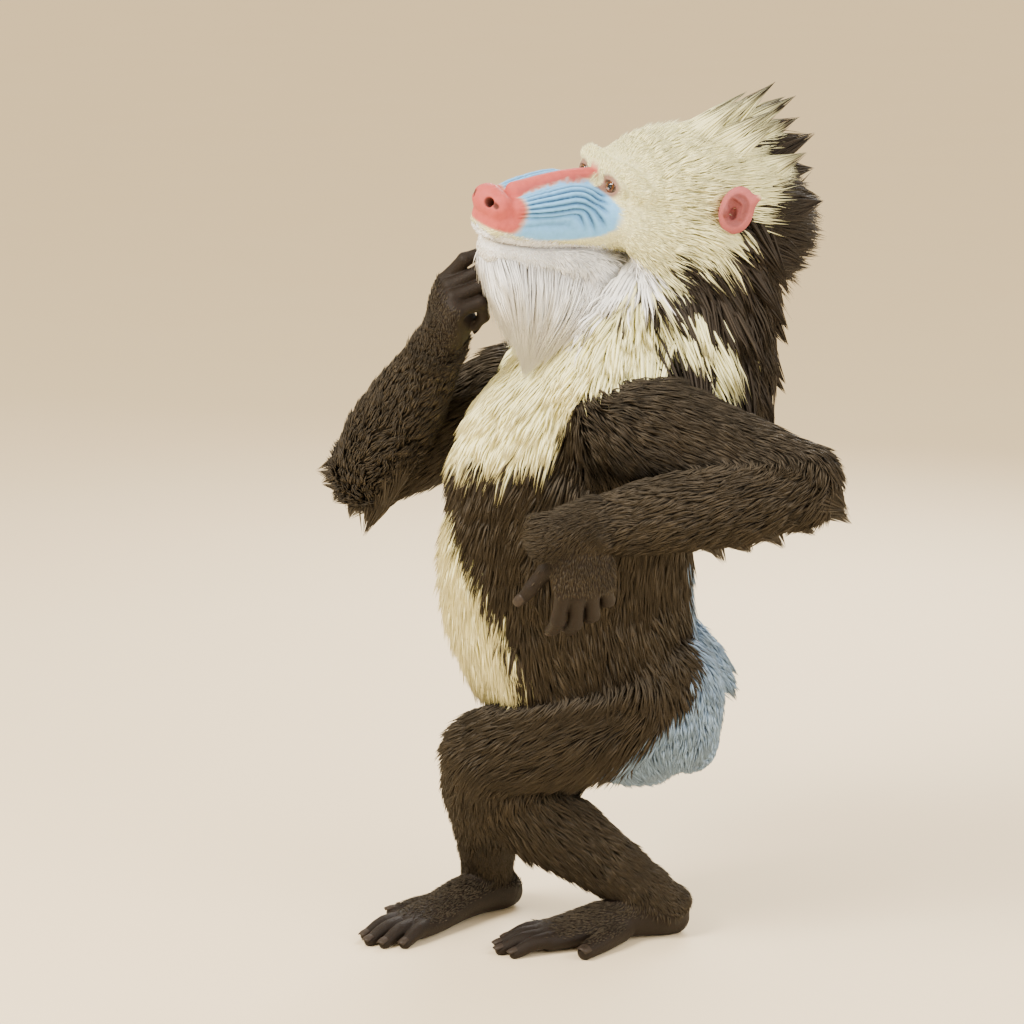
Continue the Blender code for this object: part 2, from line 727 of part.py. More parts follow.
def centre_on_floor(nodes):
    # Brings the middle of the whole box over the origin, with the soles at the floor
    corners = [node.matrix_world @ vertex.co for node in nodes for vertex in node.data.vertices]
    shift = Vector()
    for axis in (0, 1):
        values = [corner[axis] for corner in corners]
        shift[axis] = -(max(values) + min(values)) / 2
    shift.z = -min(corner.z for corner in corners)
    for node in nodes:
        node.data.transform(Matrix.Translation(shift))


# Which shapes each one gives way to, where their bodies meet
gives_way = {
    "trunk": ["mane"],
    "tail": ["trunk"],
    "jaw": ["head", "mane"],
    "ear_left": ["head"],
    "ear_right": ["head"],
    "arm_left": ["trunk", "mane"],
    "arm_right": ["trunk", "mane", "jaw"],
    "hand_left": ["trunk"],
    "hand_right": ["jaw", "mane"],
    "leg_left": ["trunk"],
    "leg_right": ["trunk", "leg_left", "foot_left"],
    "foot_right": ["leg_left", "foot_left"],
}


def melt_all():
    whole = {
        "trunk": melted("trunk", draw_trunk, 0.007, 4, 700),
        "mane": melted("mane", draw_mane, 0.006, 3, 740),
        "tail": melted("tail", draw_tail, 0.004, 1, 90),
        "head": melted("head", draw_head, 0.0034, 2, 1300),
        "jaw": melted("jaw", draw_jaw, 0.0036, 2, 340),
    }
    for side, word in sides:
        for name, draw, voxel, rounds, triangles in (
            ("arm", draw_arm, 0.006, 5, 340),
            ("hand", draw_hand, 0.0026, 2, 490),
            ("leg", draw_leg, 0.006, 5, 300),
            ("foot", draw_foot, 0.0026, 2, 425),
            ("ear", draw_ear, 0.0018, 1, 110),
        ):
            name = f"{name}_{word}"
            whole[name] = melted(name, lambda mesh: draw(mesh, side), voxel, rounds, triangles)
    return whole


def build():
    clear_scene()
    whole = melt_all()
    around = {name: grown(thing) for name, thing in whole.items()}
    for name, neighbours in gives_way.items():
        for neighbour in neighbours:
            cut_by(whole[name], around[neighbour])
        keep_largest(whole[name])
    for helper in around.values():
        bpy.data.objects.remove(helper)
    neck, neck_axis = Vector((0, 0.07, 0.722)), Vector((0, -0.30, 1)).normalized()
    trim(whole["mane"], neck, neck_axis, 0.4)
    trim(whole["head"], neck, -neck_axis, 0.4, depth=0.3)
    nodes = part_head(whole) + part_trunk(whole)
    for side, word in sides:
        hollow_ear(whole[f"ear_{word}"], side)
        cut_wrist_and_ankle(whole, side, word)
        nodes += part_limbs(whole, side, word)
    nodes += whole.values()
    paint(nodes)
    centre_on_floor(nodes)


build()
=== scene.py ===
# Adult male mandrill standing with crossed legs: one skin, eyes, nails and a coat of solid tufts.
# Lengths are in metres, angles in degrees. It faces -Y, and its left side is at +X.
import math
import time
from functools import partial

import bmesh
import bpy
import numpy as np
import openvdb
from mathutils import Matrix, Vector, kdtree
from mathutils.bvhtree import BVHTree


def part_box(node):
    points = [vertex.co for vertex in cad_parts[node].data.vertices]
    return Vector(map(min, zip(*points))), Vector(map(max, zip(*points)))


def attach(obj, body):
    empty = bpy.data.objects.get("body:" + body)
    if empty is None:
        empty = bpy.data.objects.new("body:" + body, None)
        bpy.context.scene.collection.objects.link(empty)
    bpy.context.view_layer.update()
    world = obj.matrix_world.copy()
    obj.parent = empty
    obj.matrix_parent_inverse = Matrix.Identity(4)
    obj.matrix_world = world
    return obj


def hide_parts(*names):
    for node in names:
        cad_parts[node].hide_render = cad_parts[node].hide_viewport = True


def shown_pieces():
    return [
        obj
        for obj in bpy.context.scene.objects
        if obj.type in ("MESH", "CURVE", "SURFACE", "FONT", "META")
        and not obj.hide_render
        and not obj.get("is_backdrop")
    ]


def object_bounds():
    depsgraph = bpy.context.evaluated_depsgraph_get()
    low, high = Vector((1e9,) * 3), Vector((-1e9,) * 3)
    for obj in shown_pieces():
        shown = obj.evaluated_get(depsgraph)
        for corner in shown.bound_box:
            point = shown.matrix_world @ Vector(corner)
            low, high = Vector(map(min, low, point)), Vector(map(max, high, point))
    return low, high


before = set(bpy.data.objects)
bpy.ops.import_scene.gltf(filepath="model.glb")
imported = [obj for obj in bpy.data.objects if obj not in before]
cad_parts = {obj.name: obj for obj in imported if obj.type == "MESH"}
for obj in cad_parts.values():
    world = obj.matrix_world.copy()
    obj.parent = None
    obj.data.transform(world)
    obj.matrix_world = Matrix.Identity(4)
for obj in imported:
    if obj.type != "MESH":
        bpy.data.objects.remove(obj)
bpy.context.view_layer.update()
started = time.time()


def say(stage):
    print(f"{time.time() - started:6.1f} s  {stage}", flush=True)


# Small helpers for points and directions

def unit(way):
    way = np.asarray(way, float)
    return way / max(np.linalg.norm(way), 1e-9)


def units(ways):
    return ways / np.maximum(np.linalg.norm(ways, axis=1, keepdims=True), 1e-9)


def column(values):
    return values[:, None]


def reach(start, towards, length):
    return start + unit(np.subtract(towards, start)) * length


def ramp(value, low, high):
    # 0 below low, 1 above high, smooth between; low may be the larger
    t = np.clip((value - low) / (high - low), 0, 1)
    return t * t * (3 - 2 * t)


def ripple(points, size, seed):
    # A smooth field of three numbers from -1 to 1 whose swells are about so far apart
    pick = np.random.default_rng(seed)
    total = np.zeros((len(points), 3))
    for layer in range(5):
        ways = pick.normal(size=(3, 3)) * (2 * math.pi / size / 1.7)
        total += np.sin(points @ ways + pick.uniform(0, 6.28, 3))
    return total / 2.6


def placed(place, points):
    points = np.atleast_2d(np.asarray(points, float))
    return points @ place[:3, :3].T + place[:3, 3]


def turned(place, ways):
    return units(np.atleast_2d(np.asarray(ways, float)) @ place[:3, :3].T)


def spun(angle, axis):
    return Matrix.Rotation(math.radians(angle), 4, axis)


# The plan of the body

plan = {
    "upperArm": 0.192,
    "forearm": 0.238,
    "thigh": 0.206,
    "shank": 0.192,
    "headTurn": 16,
    "headLift": 10,
    "headTilt": 14,
    "headScale": 1.05,
}
sides = ((1, "left"), (-1, "right"))
hip = {1: np.array((0.066, 0.048, 0.292)), -1: np.array((-0.066, 0.048, 0.292))}
shoulder = {1: np.array((0.118, -0.012, 0.588)), -1: np.array((-0.118, -0.03, 0.592))}
skull = np.array((0, 0.062, 0.788))
elbow = {
    1: reach(shoulder[1], (0.208, 0.145, 0.532), plan["upperArm"]),
    -1: reach(shoulder[-1], (-0.200, -0.220, 0.480), plan["upperArm"] + 0.025),
}
wrist = {
    1: reach(elbow[1], (0.184, -0.096, 0.492), plan["forearm"]),
    -1: reach(elbow[-1], (-0.048, -0.176, 0.636), plan["forearm"]),
}
knee = {
    1: reach(hip[1], (0.010, -0.138, 0.216), plan["thigh"]),
    -1: reach(hip[-1], (-0.018, -0.096, 0.168), plan["thigh"]),
}
ankle = {
    1: reach(knee[1], (-0.106, -0.096, 0.048), plan["shank"]),
    -1: reach(knee[-1], (0.038, 0.046, 0.046), plan["shank"]),
}
headFrame = np.array(Matrix.Translation(skull) @ spun(plan["headTurn"], "Z") @ spun(-plan["headLift"], "X")
                     @ spun(plan["headTilt"], "Y") @ Matrix.Scale(plan["headScale"], 4))
headBack = np.linalg.inv(headFrame)
eyePlace = np.array((0.0245, -0.080, 0.028))
earPlace = np.array((0.088, 0.024, 0.038))
muzzleTip = -0.205

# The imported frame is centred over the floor: the left eye gives the way from the plan to it
eyeLow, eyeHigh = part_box("eye_left")
shift = np.array((eyeLow + eyeHigh) / 2) - placed(headFrame, eyePlace)[0]
shift[2] = -0.0002

# Swellings: tubes of elliptical rings, each with the depth of the coat that lies over it

shapes = []
leastHalf = 0.0012   # of a swelling under its coat


def smoothPath(rows, steps):
    ends = np.vstack([rows[0] * 2 - rows[1], rows, rows[-1] * 2 - rows[-2]])
    out = []
    for before, start, end, after in zip(ends, ends[1:], ends[2:], ends[3:]):
        for step in range(steps):
            t = step / steps
            bend = (end - before) * t + (before * 2 - start * 5 + end * 4 - after) * t * t
            bend = bend + (start * 3 - before - end * 3 + after) * t**3
            out.append(start + bend * 0.5)
    return np.array(out + [rows[-1]])


def boxed(shape):
    # The swelling with the box of its spans
    return {**shape, "low": np.min([span["low"] for span in shape["spans"]], axis=0),
            "high": np.max([span["high"] for span in shape["spans"]], axis=0)}


def swell(group, tag, stations, side=(1, 0, 0), depth=0.0, soften=0.010, steps=3, blunt=0.8,
          place=None, carve=False, lie=1):
    # stations are (centre, half width, half depth) or the same with a coat depth of their own
    rows = np.array([[*s[0], s[1], s[2], s[3] if len(s) > 3 else depth] for s in stations], float)
    rows = smoothPath(rows, steps)
    side = np.asarray(side, float)
    if place is not None:
        scale = np.linalg.det(place[:3, :3]) ** (1 / 3)
        rows[:, :3] = placed(place, rows[:, :3])
        rows[:, 3:5] *= scale
        side = turned(place, side)[0]
    rows[:, 3:5] = np.maximum(rows[:, 3:5] - rows[:, 5:], leastHalf)
    spans = []
    for a, b in zip(rows, rows[1:]):
        along = unit(b[:3] - a[:3])
        across = unit(side - along * (along @ side))
        spans.append({
            "a": a, "b": b, "along": along, "across": across, "over": np.cross(along, across),
            "length": np.linalg.norm(b[:3] - a[:3]), "blunt": blunt,
            "low": np.minimum(a[:3], b[:3]) - max(*a[3:5], *b[3:5]),
            "high": np.maximum(a[:3], b[:3]) + max(*a[3:5], *b[3:5]),
        })
    shapes.append(boxed({
        "group": group, "tag": tag, "spans": spans, "soften": soften, "carve": carve, "lie": lie,
    }))
    return shapes[-1]


def blob(group, tag, centre, radii, way=(0, 0, 1), **rest):
    # An ellipsoid as a very short tube: radii are (side, the third way, along)
    centre = np.asarray(centre, float)
    step = unit(way) * radii[2] * 0.08
    return swell(group, tag, [(centre - step, radii[0], radii[1]), (centre + step, radii[0], radii[1])],
                 steps=1, blunt=radii[2] / min(radii[0], radii[1]), **rest)


def mirrored(stations, side):
    return [(np.multiply(centre, (side, 1, 1)), *rest) for centre, *rest in stations]


def spanDistance(span, points):
    # About how far each point is outside the span, and how far along it
    a, b = span["a"].astype(np.float32), span["b"].astype(np.float32)
    q = points - a[:3]
    s = q @ span["along"].astype(np.float32)
    t = np.clip(s / max(span["length"], 1e-6), 0, 1)
    w = a[3] + (b[3] - a[3]) * t
    d = a[4] + (b[4] - a[4]) * t
    u = (q @ span["across"].astype(np.float32)) / w
    v = (q @ span["over"].astype(np.float32)) / d
    m = np.minimum(w, d) * span["blunt"]
    e = (s - t * span["length"]) / m
    k = np.sqrt(u * u + v * v + e * e)
    g = np.sqrt((u / w) ** 2 + (v / d) ** 2 + (e / m) ** 2)
    return k * (k - 1) / np.maximum(g, 1e-4), t


# Trunk, neck and tail

trunkPlan = {   # centre, half width, half depth and, where it changes along the row, the coat
    "trunk": [
        ((0, 0.056, 0.196), 0.050, 0.040, 0.006), ((0, 0.036, 0.232), 0.088, 0.076, 0.010),
        ((0, 0.008, 0.275), 0.104, 0.110, 0.014), ((0, -0.021, 0.330), 0.108, 0.134, 0.018),
        ((0, -0.037, 0.385), 0.110, 0.145, 0.019), ((0, -0.038, 0.440), 0.118, 0.145, 0.019),
        ((0, -0.022, 0.505), 0.127, 0.133, 0.019), ((0, 0.012, 0.565), 0.126, 0.118, 0.019),
        ((0, 0.040, 0.620), 0.108, 0.090, 0.019),
    ],
    "swellings": [   # on both sides: tag, centre, radii, coat, softness
        ("trunk", (0.088, -0.006, 0.578), (0.064, 0.074, 0.062), 0.017, 0.02),
        ("rump", (0.054, 0.060, 0.266), (0.054, 0.062, 0.076), 0.008, 0.016),
        ("rump", (0.032, 0.092, 0.222), (0.032, 0.034, 0.042), 0.003, 0.010),
    ],
    "neck": [
        ((0, 0.058, 0.600), 0.128, 0.108), ((0, 0.072, 0.640), 0.128, 0.116),
        ((0, 0.088, 0.700), 0.112, 0.112), ((0, 0.092, 0.760), 0.104, 0.104),
    ],
    "neckSide": [
        ((0.040, 0.040, 0.745), 0.030, 0.034), ((0.070, 0.006, 0.680), 0.042, 0.046),
        ((0.092, -0.030, 0.625), 0.044, 0.046),
    ],
    "bib": [
        ((0, 0.000, 0.720), 0.066, 0.040), ((0, -0.024, 0.668), 0.084, 0.046),
        ((0, -0.050, 0.620), 0.100, 0.056), ((0, -0.080, 0.572), 0.104, 0.066),
        ((0, -0.104, 0.525), 0.088, 0.066), ((0, -0.108, 0.500), 0.066, 0.056),
    ],
    "tail": [
        ((0, 0.100, 0.326), 0.021, 0.019), ((0, 0.128, 0.302), 0.019, 0.018),
        ((0, 0.148, 0.270), 0.013, 0.012),
    ],
    "coat": {"neck": 0.032, "neckSide": 0.021, "bib": 0.026, "tail": 0.008},
}
coat = trunkPlan["coat"]
swell("body", "trunk", trunkPlan["trunk"], soften=0.02, lie=-1)
for side, word in sides:
    for tag, centre, radii, depth, soften in trunkPlan["swellings"]:
        blob("body", tag, np.multiply(centre, (side, 1, 1)), radii, depth=depth, soften=soften, lie=-1)
for group in ("body", "head"):
    swell(group, "neck", trunkPlan["neck"], depth=coat["neck"], soften=0.02, lie=-1)
    swell(group, "bib", trunkPlan["bib"], depth=coat["bib"], soften=0.02)
    for side, word in sides:
        swell(group, "neck", mirrored(trunkPlan["neckSide"], side), depth=coat["neckSide"], soften=0.03)
swell("body", "tail", trunkPlan["tail"], depth=coat["tail"], soften=0.012)

# Arms and legs, without hands and feet

limbRadii = {  # share of the way, half width, half depth, coat
    "upperArm": [(-0.15, 0.046, 0.048, 0.014), (0.10, 0.064, 0.066, 0.014), (0.55, 0.057, 0.056, 0.012),
                 (1, 0.046, 0.046, 0.010)],
    "forearm": [(0, 0.046, 0.046, 0.010), (0.25, 0.054, 0.054, 0.011), (0.6, 0.047, 0.045, 0.010),
                (1, 0.031, 0.026, 0.005), (1.18, 0.029, 0.022, 0.004)],
    "thigh": [(0.18, 0.060, 0.066, 0.012), (0.42, 0.070, 0.078, 0.012), (0.72, 0.059, 0.066, 0.011),
              (1, 0.044, 0.047, 0.009)],
    "shank": [(0, 0.044, 0.047, 0.009), (0.25, 0.045, 0.050, 0.009), (0.6, 0.036, 0.040, 0.007),
              (1, 0.027, 0.029, 0.004), (1.15, 0.025, 0.028, 0.004)],
}


def limb(name, start, end, side, tag, alsoIn=None):
    stations = [(start + (end - start) * share, *rest) for share, *rest in limbRadii[name]]
    shape = swell("body", tag, stations, side=side, soften=0.012)
    if alsoIn:
        # Its lower part again in the hand or foot, so that the two skins agree where they meet
        shapes.append(boxed({**shape, "group": alsoIn, "spans": shape["spans"][5:]}))


for side, word in sides:
    across = (0, 0, 1) if side == 1 else (0.6, -0.6, 0.5)
    limb("upperArm", shoulder[side], elbow[side], across, "arm")
    limb("forearm", elbow[side], wrist[side], across, "arm", alsoIn=f"hand_{word}")
    limb("thigh", hip[side], knee[side], (1, 0, 0), "leg")
    limb("shank", knee[side], ankle[side], (1, 0, 0), "leg", alsoIn=f"foot_{word}")

# Hands

handPlan = {
    # forwards, half width, half depth, coat
    "middle": [(0.022, 0.031, 0.020, 0.002), (0.042, 0.034, 0.018, 0.001), (0.060, 0.034, 0.015, 0.001)],
    "pads": [   # forwards, towards the thumb, into the palm, half width, half depth, coat
        [(0.020, 0.018, 0.006, 0.013, 0.012, 0.001), (0.042, 0.024, 0.008, 0.011, 0.010, 0.001)],
        [(0.015, -0.017, 0.007, 0.011, 0.010, 0.001), (0.046, -0.022, 0.005, 0.009, 0.009, 0.001)],
    ],
    "bases": [(0.022, 0.066), (0.0075, 0.070), (-0.0075, 0.067), (-0.0215, 0.059)],  # sideways, forwards
    "bones": [(0.033, 0.022, 0.017), (0.037, 0.025, 0.018), (0.034, 0.023, 0.017), (0.028, 0.018, 0.015)],
    "widths": [0.0092, 0.0096, 0.0086, 0.0076, 0.0060],   # half widths from the knuckle to the tip
    "thumb": [(0.030, 0.0115), (0.024, 0.0095), (0.018, 0.0078)],   # bones with half widths
    "coat": 0.0006,   # on the fingers
    1: {
        "along": (0.05, 0.02, -1), "palm": (-1, 0.10, -0.05), "fan": (-6, 2, 10, 18),
        "curl": [(26, 30, 18), (32, 34, 20), (36, 38, 22), (40, 40, 22)], "thumbWay": (-0.25, -0.55, -0.80),
    },
    -1: {
        "along": (0.50, 0.02, 0.86), "palm": (0.02, 1, 0.12), "fan": (4, 2, -2, -6),
        "curl": [(30, 34, 24), (58, 74, 40), (66, 86, 48), (70, 92, 52)], "thumbWay": (0.16, 0.52, 0.82),
    },
}
nailTips = []  # ends of fingers and toes: part, point, way out, way to the back, radius, way across


def handAxes(side):
    along = unit(handPlan[side]["along"])
    palm = np.asarray(handPlan[side]["palm"], float)
    palm = unit(palm - along * (along @ palm))
    return along, palm, np.cross(along, palm) * -side


for side, word in sides:
    group = f"hand_{word}"
    along, palm, thumb = handAxes(side)
    base = wrist[side]
    forearm = unit(base - elbow[side])
    stations = [(base + along * forward, *rest) for forward, *rest in handPlan["middle"]]
    swell(group, "hand", [(base - forearm * 0.006, 0.028, 0.022, 0.003), *stations], side=thumb, soften=0.006)
    for pad in handPlan["pads"]:
        stations = [(base + along * forward + thumb * out + palm * sunk, *rest)
                    for forward, out, sunk, *rest in pad]
        swell(group, "hand", stations, side=thumb, soften=0.006)
    for number, (out, forward) in enumerate(handPlan["bases"]):
        point = base + along * forward + thumb * out
        fan = math.radians(handPlan[side]["fan"][number])
        level = unit(along * math.cos(fan) - thumb * math.sin(fan))
        joints, bend = [point - level * 0.012, point], 0
        for length, turn in zip(handPlan["bones"][number], handPlan[side]["curl"][number]):
            bend += math.radians(turn)
            way = level * math.cos(bend) + palm * math.sin(bend)
            back = level * math.sin(bend) - palm * math.cos(bend)
            point = point + way * length
            joints.append(point)
        widths = handPlan["widths"]
        for start, end, w0, w1 in zip(joints, joints[1:], widths, widths[1:]):
            middle = ((start + end) / 2, (w0 + w1) * 0.468, (w0 + w1) * 0.44)   # a slight waist
            swell(group, "finger", [(start, w0, w0 * 0.92), middle, (end, w1, w1 * 0.92)], side=thumb,
                  depth=handPlan["coat"], steps=1, blunt=1, soften=0.0022)
        nailTips.append((group, point, way, back, 0.0060, np.cross(way, back)))
    aim = unit(handPlan[side]["thumbWay"])
    point = base + along * 0.020 + thumb * 0.018 + palm * 0.008
    for length, width in handPlan["thumb"]:
        after = point + aim * length
        swell(group, "finger", [(point, width, width), (after, width * 0.88, width * 0.85)],
              depth=handPlan["coat"], steps=1, blunt=1, soften=0.004)
        point = after
        aim = unit(aim + palm * 0.12)
    back = unit(thumb * 0.75 - palm * 0.66)
    back = unit(back - aim * (aim @ back))
    nailTips.append((group, point, aim, back, 0.0068, np.cross(aim, back)))

# Feet

footPlan = {
    "heading": {1: 28, -1: 2},
    "sole": [
        ((0, 0.032, 0.016), 0.020, 0.019, 0.001), ((0, 0.018, 0.022), 0.024, 0.025, 0.001),
        ((0, -0.010, 0.026), 0.025, 0.026, 0.001), ((0, -0.050, 0.022), 0.026, 0.022, 0.001),
        ((0, -0.090, 0.015), 0.030, 0.018, 0.001), ((0, -0.122, 0.011), 0.031, 0.014, 0.001),
    ],
    # sideways, forwards and length
    "toes": [(0.018, 0.122, 0.056), (0.006, 0.128, 0.060), (-0.007, 0.125, 0.058), (-0.019, 0.116, 0.052)],
    "greatToe": [
        ((0.016, -0.040, 0.015), 0.015, 0.015, 0.001), ((0.036, -0.066, 0.012), 0.0120, 0.0125, 0.0008),
        ((0.053, -0.094, 0.008), 0.0092, 0.0092, 0.0006),
    ],
}
footPlace = {}


def toeNail(group, place, end, way, back, radius):
    nailTips.append((group, *placed(place, end), *turned(place, way), *turned(place, back), radius,
                     turned(place, np.cross(way, back))[0]))


for side, word in sides:
    group, inner = f"foot_{word}", -side
    place = np.array(Matrix.Translation((*ankle[side][:2], 0)) @ spun(footPlan["heading"][side], "Z"))
    footPlace[side] = place
    joint = np.array((0, 0, ankle[side][2]))
    rise = unit(placed(np.linalg.inv(place), knee[side])[0] - joint)
    heel = [(joint + rise * 0.012, 0.027, 0.029, 0.003), (joint - (0, 0, 0.012), 0.026, 0.028, 0.002)]
    swell(group, "foot", heel, soften=0.008, place=place)
    swell(group, "foot", footPlan["sole"], soften=0.008, place=place)
    for out, forward, length in footPlan["toes"]:
        start = np.array((out * inner, -forward + 0.014, 0.013))
        middle = start + (out * inner * 0.25, -length * 0.55, 0.001)
        end = start + (out * inner * 0.35, -length, -0.0075)
        toe = [(start, 0.0102, 0.0104), (middle, 0.0088, 0.0090), (end, 0.0072, 0.0070)]
        swell(group, "toe", toe, depth=0.0006, blunt=1, soften=0.0022, place=place)
        way = unit(end - middle)
        toeNail(group, place, end, way, unit(np.cross(np.cross(way, (0, 0, 1)), way)), 0.0070)
    great = mirrored(footPlan["greatToe"], inner)
    swell(group, "toe", great, blunt=1, soften=0.005, place=place)
    way = unit(great[2][0] - great[1][0])
    back = unit(np.cross(np.cross(way, (0, 0, 1)), way) + (0.35 * inner, 0, 0))
    toeNail(group, place, great[2][0], way, unit(back - way * (way @ back)), 0.0088)

# Head, in its own frame: the nose points to -Y

headPlan = {   # made in this order, the pairs on both sides
    "skull": [
        {"tag": "crown", "soften": 0.012, "stations": [
            ((0, -0.055, 0.026), 0.050, 0.040, 0.003), ((0, -0.015, 0.030), 0.070, 0.058, 0.009),
            ((0, 0.035, 0.030), 0.080, 0.068, 0.013), ((0, 0.085, 0.020), 0.078, 0.070, 0.016),
            ((0, 0.125, 0.000), 0.062, 0.062, 0.016)]},
        {"tag": "neck", "soften": 0.02, "depth": 0.022, "stations": [
            ((0, 0.040, 0.00), 0.085, 0.085), ((0, 0.045, -0.07), 0.090, 0.090),
            ((0, 0.040, -0.13), 0.095, 0.095)]},
        {"tag": "crown", "soften": 0.014, "stations": [
            ((0, 0.000, 0.062), 0.030, 0.022, 0.008), ((0, 0.045, 0.078), 0.034, 0.030, 0.013),
            ((0, 0.085, 0.075), 0.030, 0.034, 0.013)]},
        {"tag": "muzzle", "soften": 0.008, "blunt": 0.6, "stations": [
            ((0, -0.050, -0.002), 0.046, 0.040), ((0, -0.100, -0.010), 0.039, 0.033),
            ((0, -0.150, -0.020), 0.0350, 0.0285), ((0, muzzleTip + 0.020, -0.026), 0.0305, 0.0245),
            ((0, muzzleTip + 0.004, -0.027), 0.025, 0.019)]},
        {"tag": "brow", "soften": 0.008, "depth": 0.001, "side": (0, 0, 1), "stations": [
            ((-0.046, -0.064, 0.030), 0.010, 0.009), ((-0.030, -0.081, 0.043), 0.0105, 0.010),
            ((-0.012, -0.086, 0.041), 0.010, 0.009), ((0.012, -0.086, 0.041), 0.010, 0.009),
            ((0.030, -0.081, 0.043), 0.0105, 0.010), ((0.046, -0.064, 0.030), 0.010, 0.009)]},
    ],
    "pairs": [
        {"tag": "muzzle", "soften": 0.004, "stations": [
            ((0.0185, -0.092, 0.012), 0.010, 0.010), ((0.0215, -0.120, 0.009), 0.0165, 0.0165),
            ((0.0215, -0.155, -0.001), 0.0165, 0.0155), ((0.019, -0.186, -0.010), 0.0100, 0.0105)]},
        {"tag": "cheek", "soften": 0.012, "stations": [
            ((0.030, -0.074, 0.004), 0.017, 0.017, 0.002), ((0.052, -0.035, -0.012), 0.024, 0.036, 0.006),
            ((0.062, 0.020, -0.026), 0.030, 0.054, 0.012), ((0.060, 0.080, -0.030), 0.030, 0.060, 0.016)]},
        # The eyelids: a ball a little larger than the eye, opened in front by the hollow below
        {"tag": "lid", "soften": 0.004, "centre": eyePlace + (0, 0.0010, 0),
         "radii": (0.0134, 0.0130, 0.0128)},
    ],
    "snout": [
        {"tag": "bridge", "soften": 0.005, "stations": [
            ((0, -0.078, 0.031), 0.008, 0.011), ((0, -0.130, 0.019), 0.0085, 0.012),
            ((0, -0.180, 0.001), 0.0105, 0.012)]},
        {"tag": "nose", "soften": 0.004, "side": (0, 0, 1), "stations": [
            ((-0.016, muzzleTip + 0.004, -0.011), 0.0135, 0.0125),
            ((0, muzzleTip - 0.001, -0.008), 0.0155, 0.0145),
            ((0.016, muzzleTip + 0.004, -0.011), 0.0135, 0.0125)]},
        {"tag": "jaw", "soften": 0.005, "stations": [
            ((0, muzzleTip + 0.018, -0.056), 0.023, 0.016, 0.002),
            ((0, -0.150, -0.059), 0.032, 0.022, 0.004), ((0, -0.100, -0.062), 0.039, 0.028, 0.006),
            ((0, -0.050, -0.066), 0.047, 0.034, 0.008)]},
    ],
    "hollows": [
        {"tag": "lid", "soften": 0.0012, "carve": True, "centre": eyePlace + (0.0005, -0.0098, -0.0004),
         "radii": (0.0098, 0.0078, 0.0052)},
        # Nostrils: comma-shaped, opening forwards and a little outwards
        {"tag": "nostril", "soften": 0.003, "carve": True, "stations": [
            ((0.0130, muzzleTip - 0.018, -0.0050), 0.0034, 0.0042),
            ((0.0135, muzzleTip - 0.006, -0.0080), 0.0036, 0.0042),
            ((0.0115, muzzleTip + 0.006, -0.0100), 0.0028, 0.0028)]},
        {"tag": "nostril", "soften": 0.0022, "carve": True, "stations": [
            ((0.0155, muzzleTip - 0.013, -0.0035), 0.0024, 0.0024),
            ((0.0225, muzzleTip - 0.006, -0.0085), 0.0018, 0.0018)]},
    ],
    # A cupped leaf with a thick rim, a point high at the back and a bump before the opening
    "ear": [
        {"tag": "ear", "soften": 0.004, "centre": (0, 0, 0), "radii": (0.0072, 0.0170, 0.0230)},
        {"tag": "ear", "soften": 0.006, "centre": (-0.012, -0.004, -0.004), "radii": (0.016, 0.012, 0.015)},
        {"tag": "ear", "soften": 0.004, "steps": 1, "stations": [
            ((0, 0.008, 0.010), 0.0060, 0.0080), ((0.001, 0.0175, 0.0190), 0.0028, 0.0030)]},
        {"tag": "earBowl", "soften": 0.0022, "carve": True, "centre": (0.0085, -0.001, 0.001),
         "radii": (0.0068, 0.0122, 0.0172)},
        {"tag": "ear", "soften": 0.0025, "stations": [
            ((0.0040, -0.006, 0.0130), 0.0018, 0.0018), ((0.0044, 0.0045, 0.008), 0.0020, 0.0020),
            ((0.0040, 0.0060, -0.006), 0.0020, 0.0020)]},
        {"tag": "ear", "soften": 0.003, "centre": (0.0050, -0.0105, -0.003),
         "radii": (0.0035, 0.0030, 0.0052)},
        {"tag": "earBowl", "soften": 0.002, "carve": True, "centre": (0.0015, -0.0025, -0.004),
         "radii": (0.0050, 0.0038, 0.0058)},
    ],
    "earTurn": 34,
}


def shaped(rows, place, side=1):
    # The swellings and balls of the rows, mirrored for the right side
    for row in rows:
        if "radii" in row:
            blob("head", place=place, **{**row, "centre": np.multiply(row["centre"], (side, 1, 1))})
        else:
            swell("head", place=place, **{**row, "stations": mirrored(row["stations"], side)})


shaped(headPlan["skull"], headFrame)
for side, word in sides:
    shaped(headPlan["pairs"], headFrame, side)
shaped(headPlan["snout"], headFrame)
for side, word in sides:
    shaped(headPlan["hollows"], headFrame, side)
    root = Matrix.Translation(Vector(earPlace * (side, 1, 1)))
    place = headFrame @ np.array(root @ spun(-headPlan["earTurn"] * side, "Z"))
    shaped(headPlan["ear"], place, side)
say(f"{len(shapes)} swellings planned")

# Melting the swellings of one group into a closed surface

outside = 0.05   # the distance that stands for everything far off


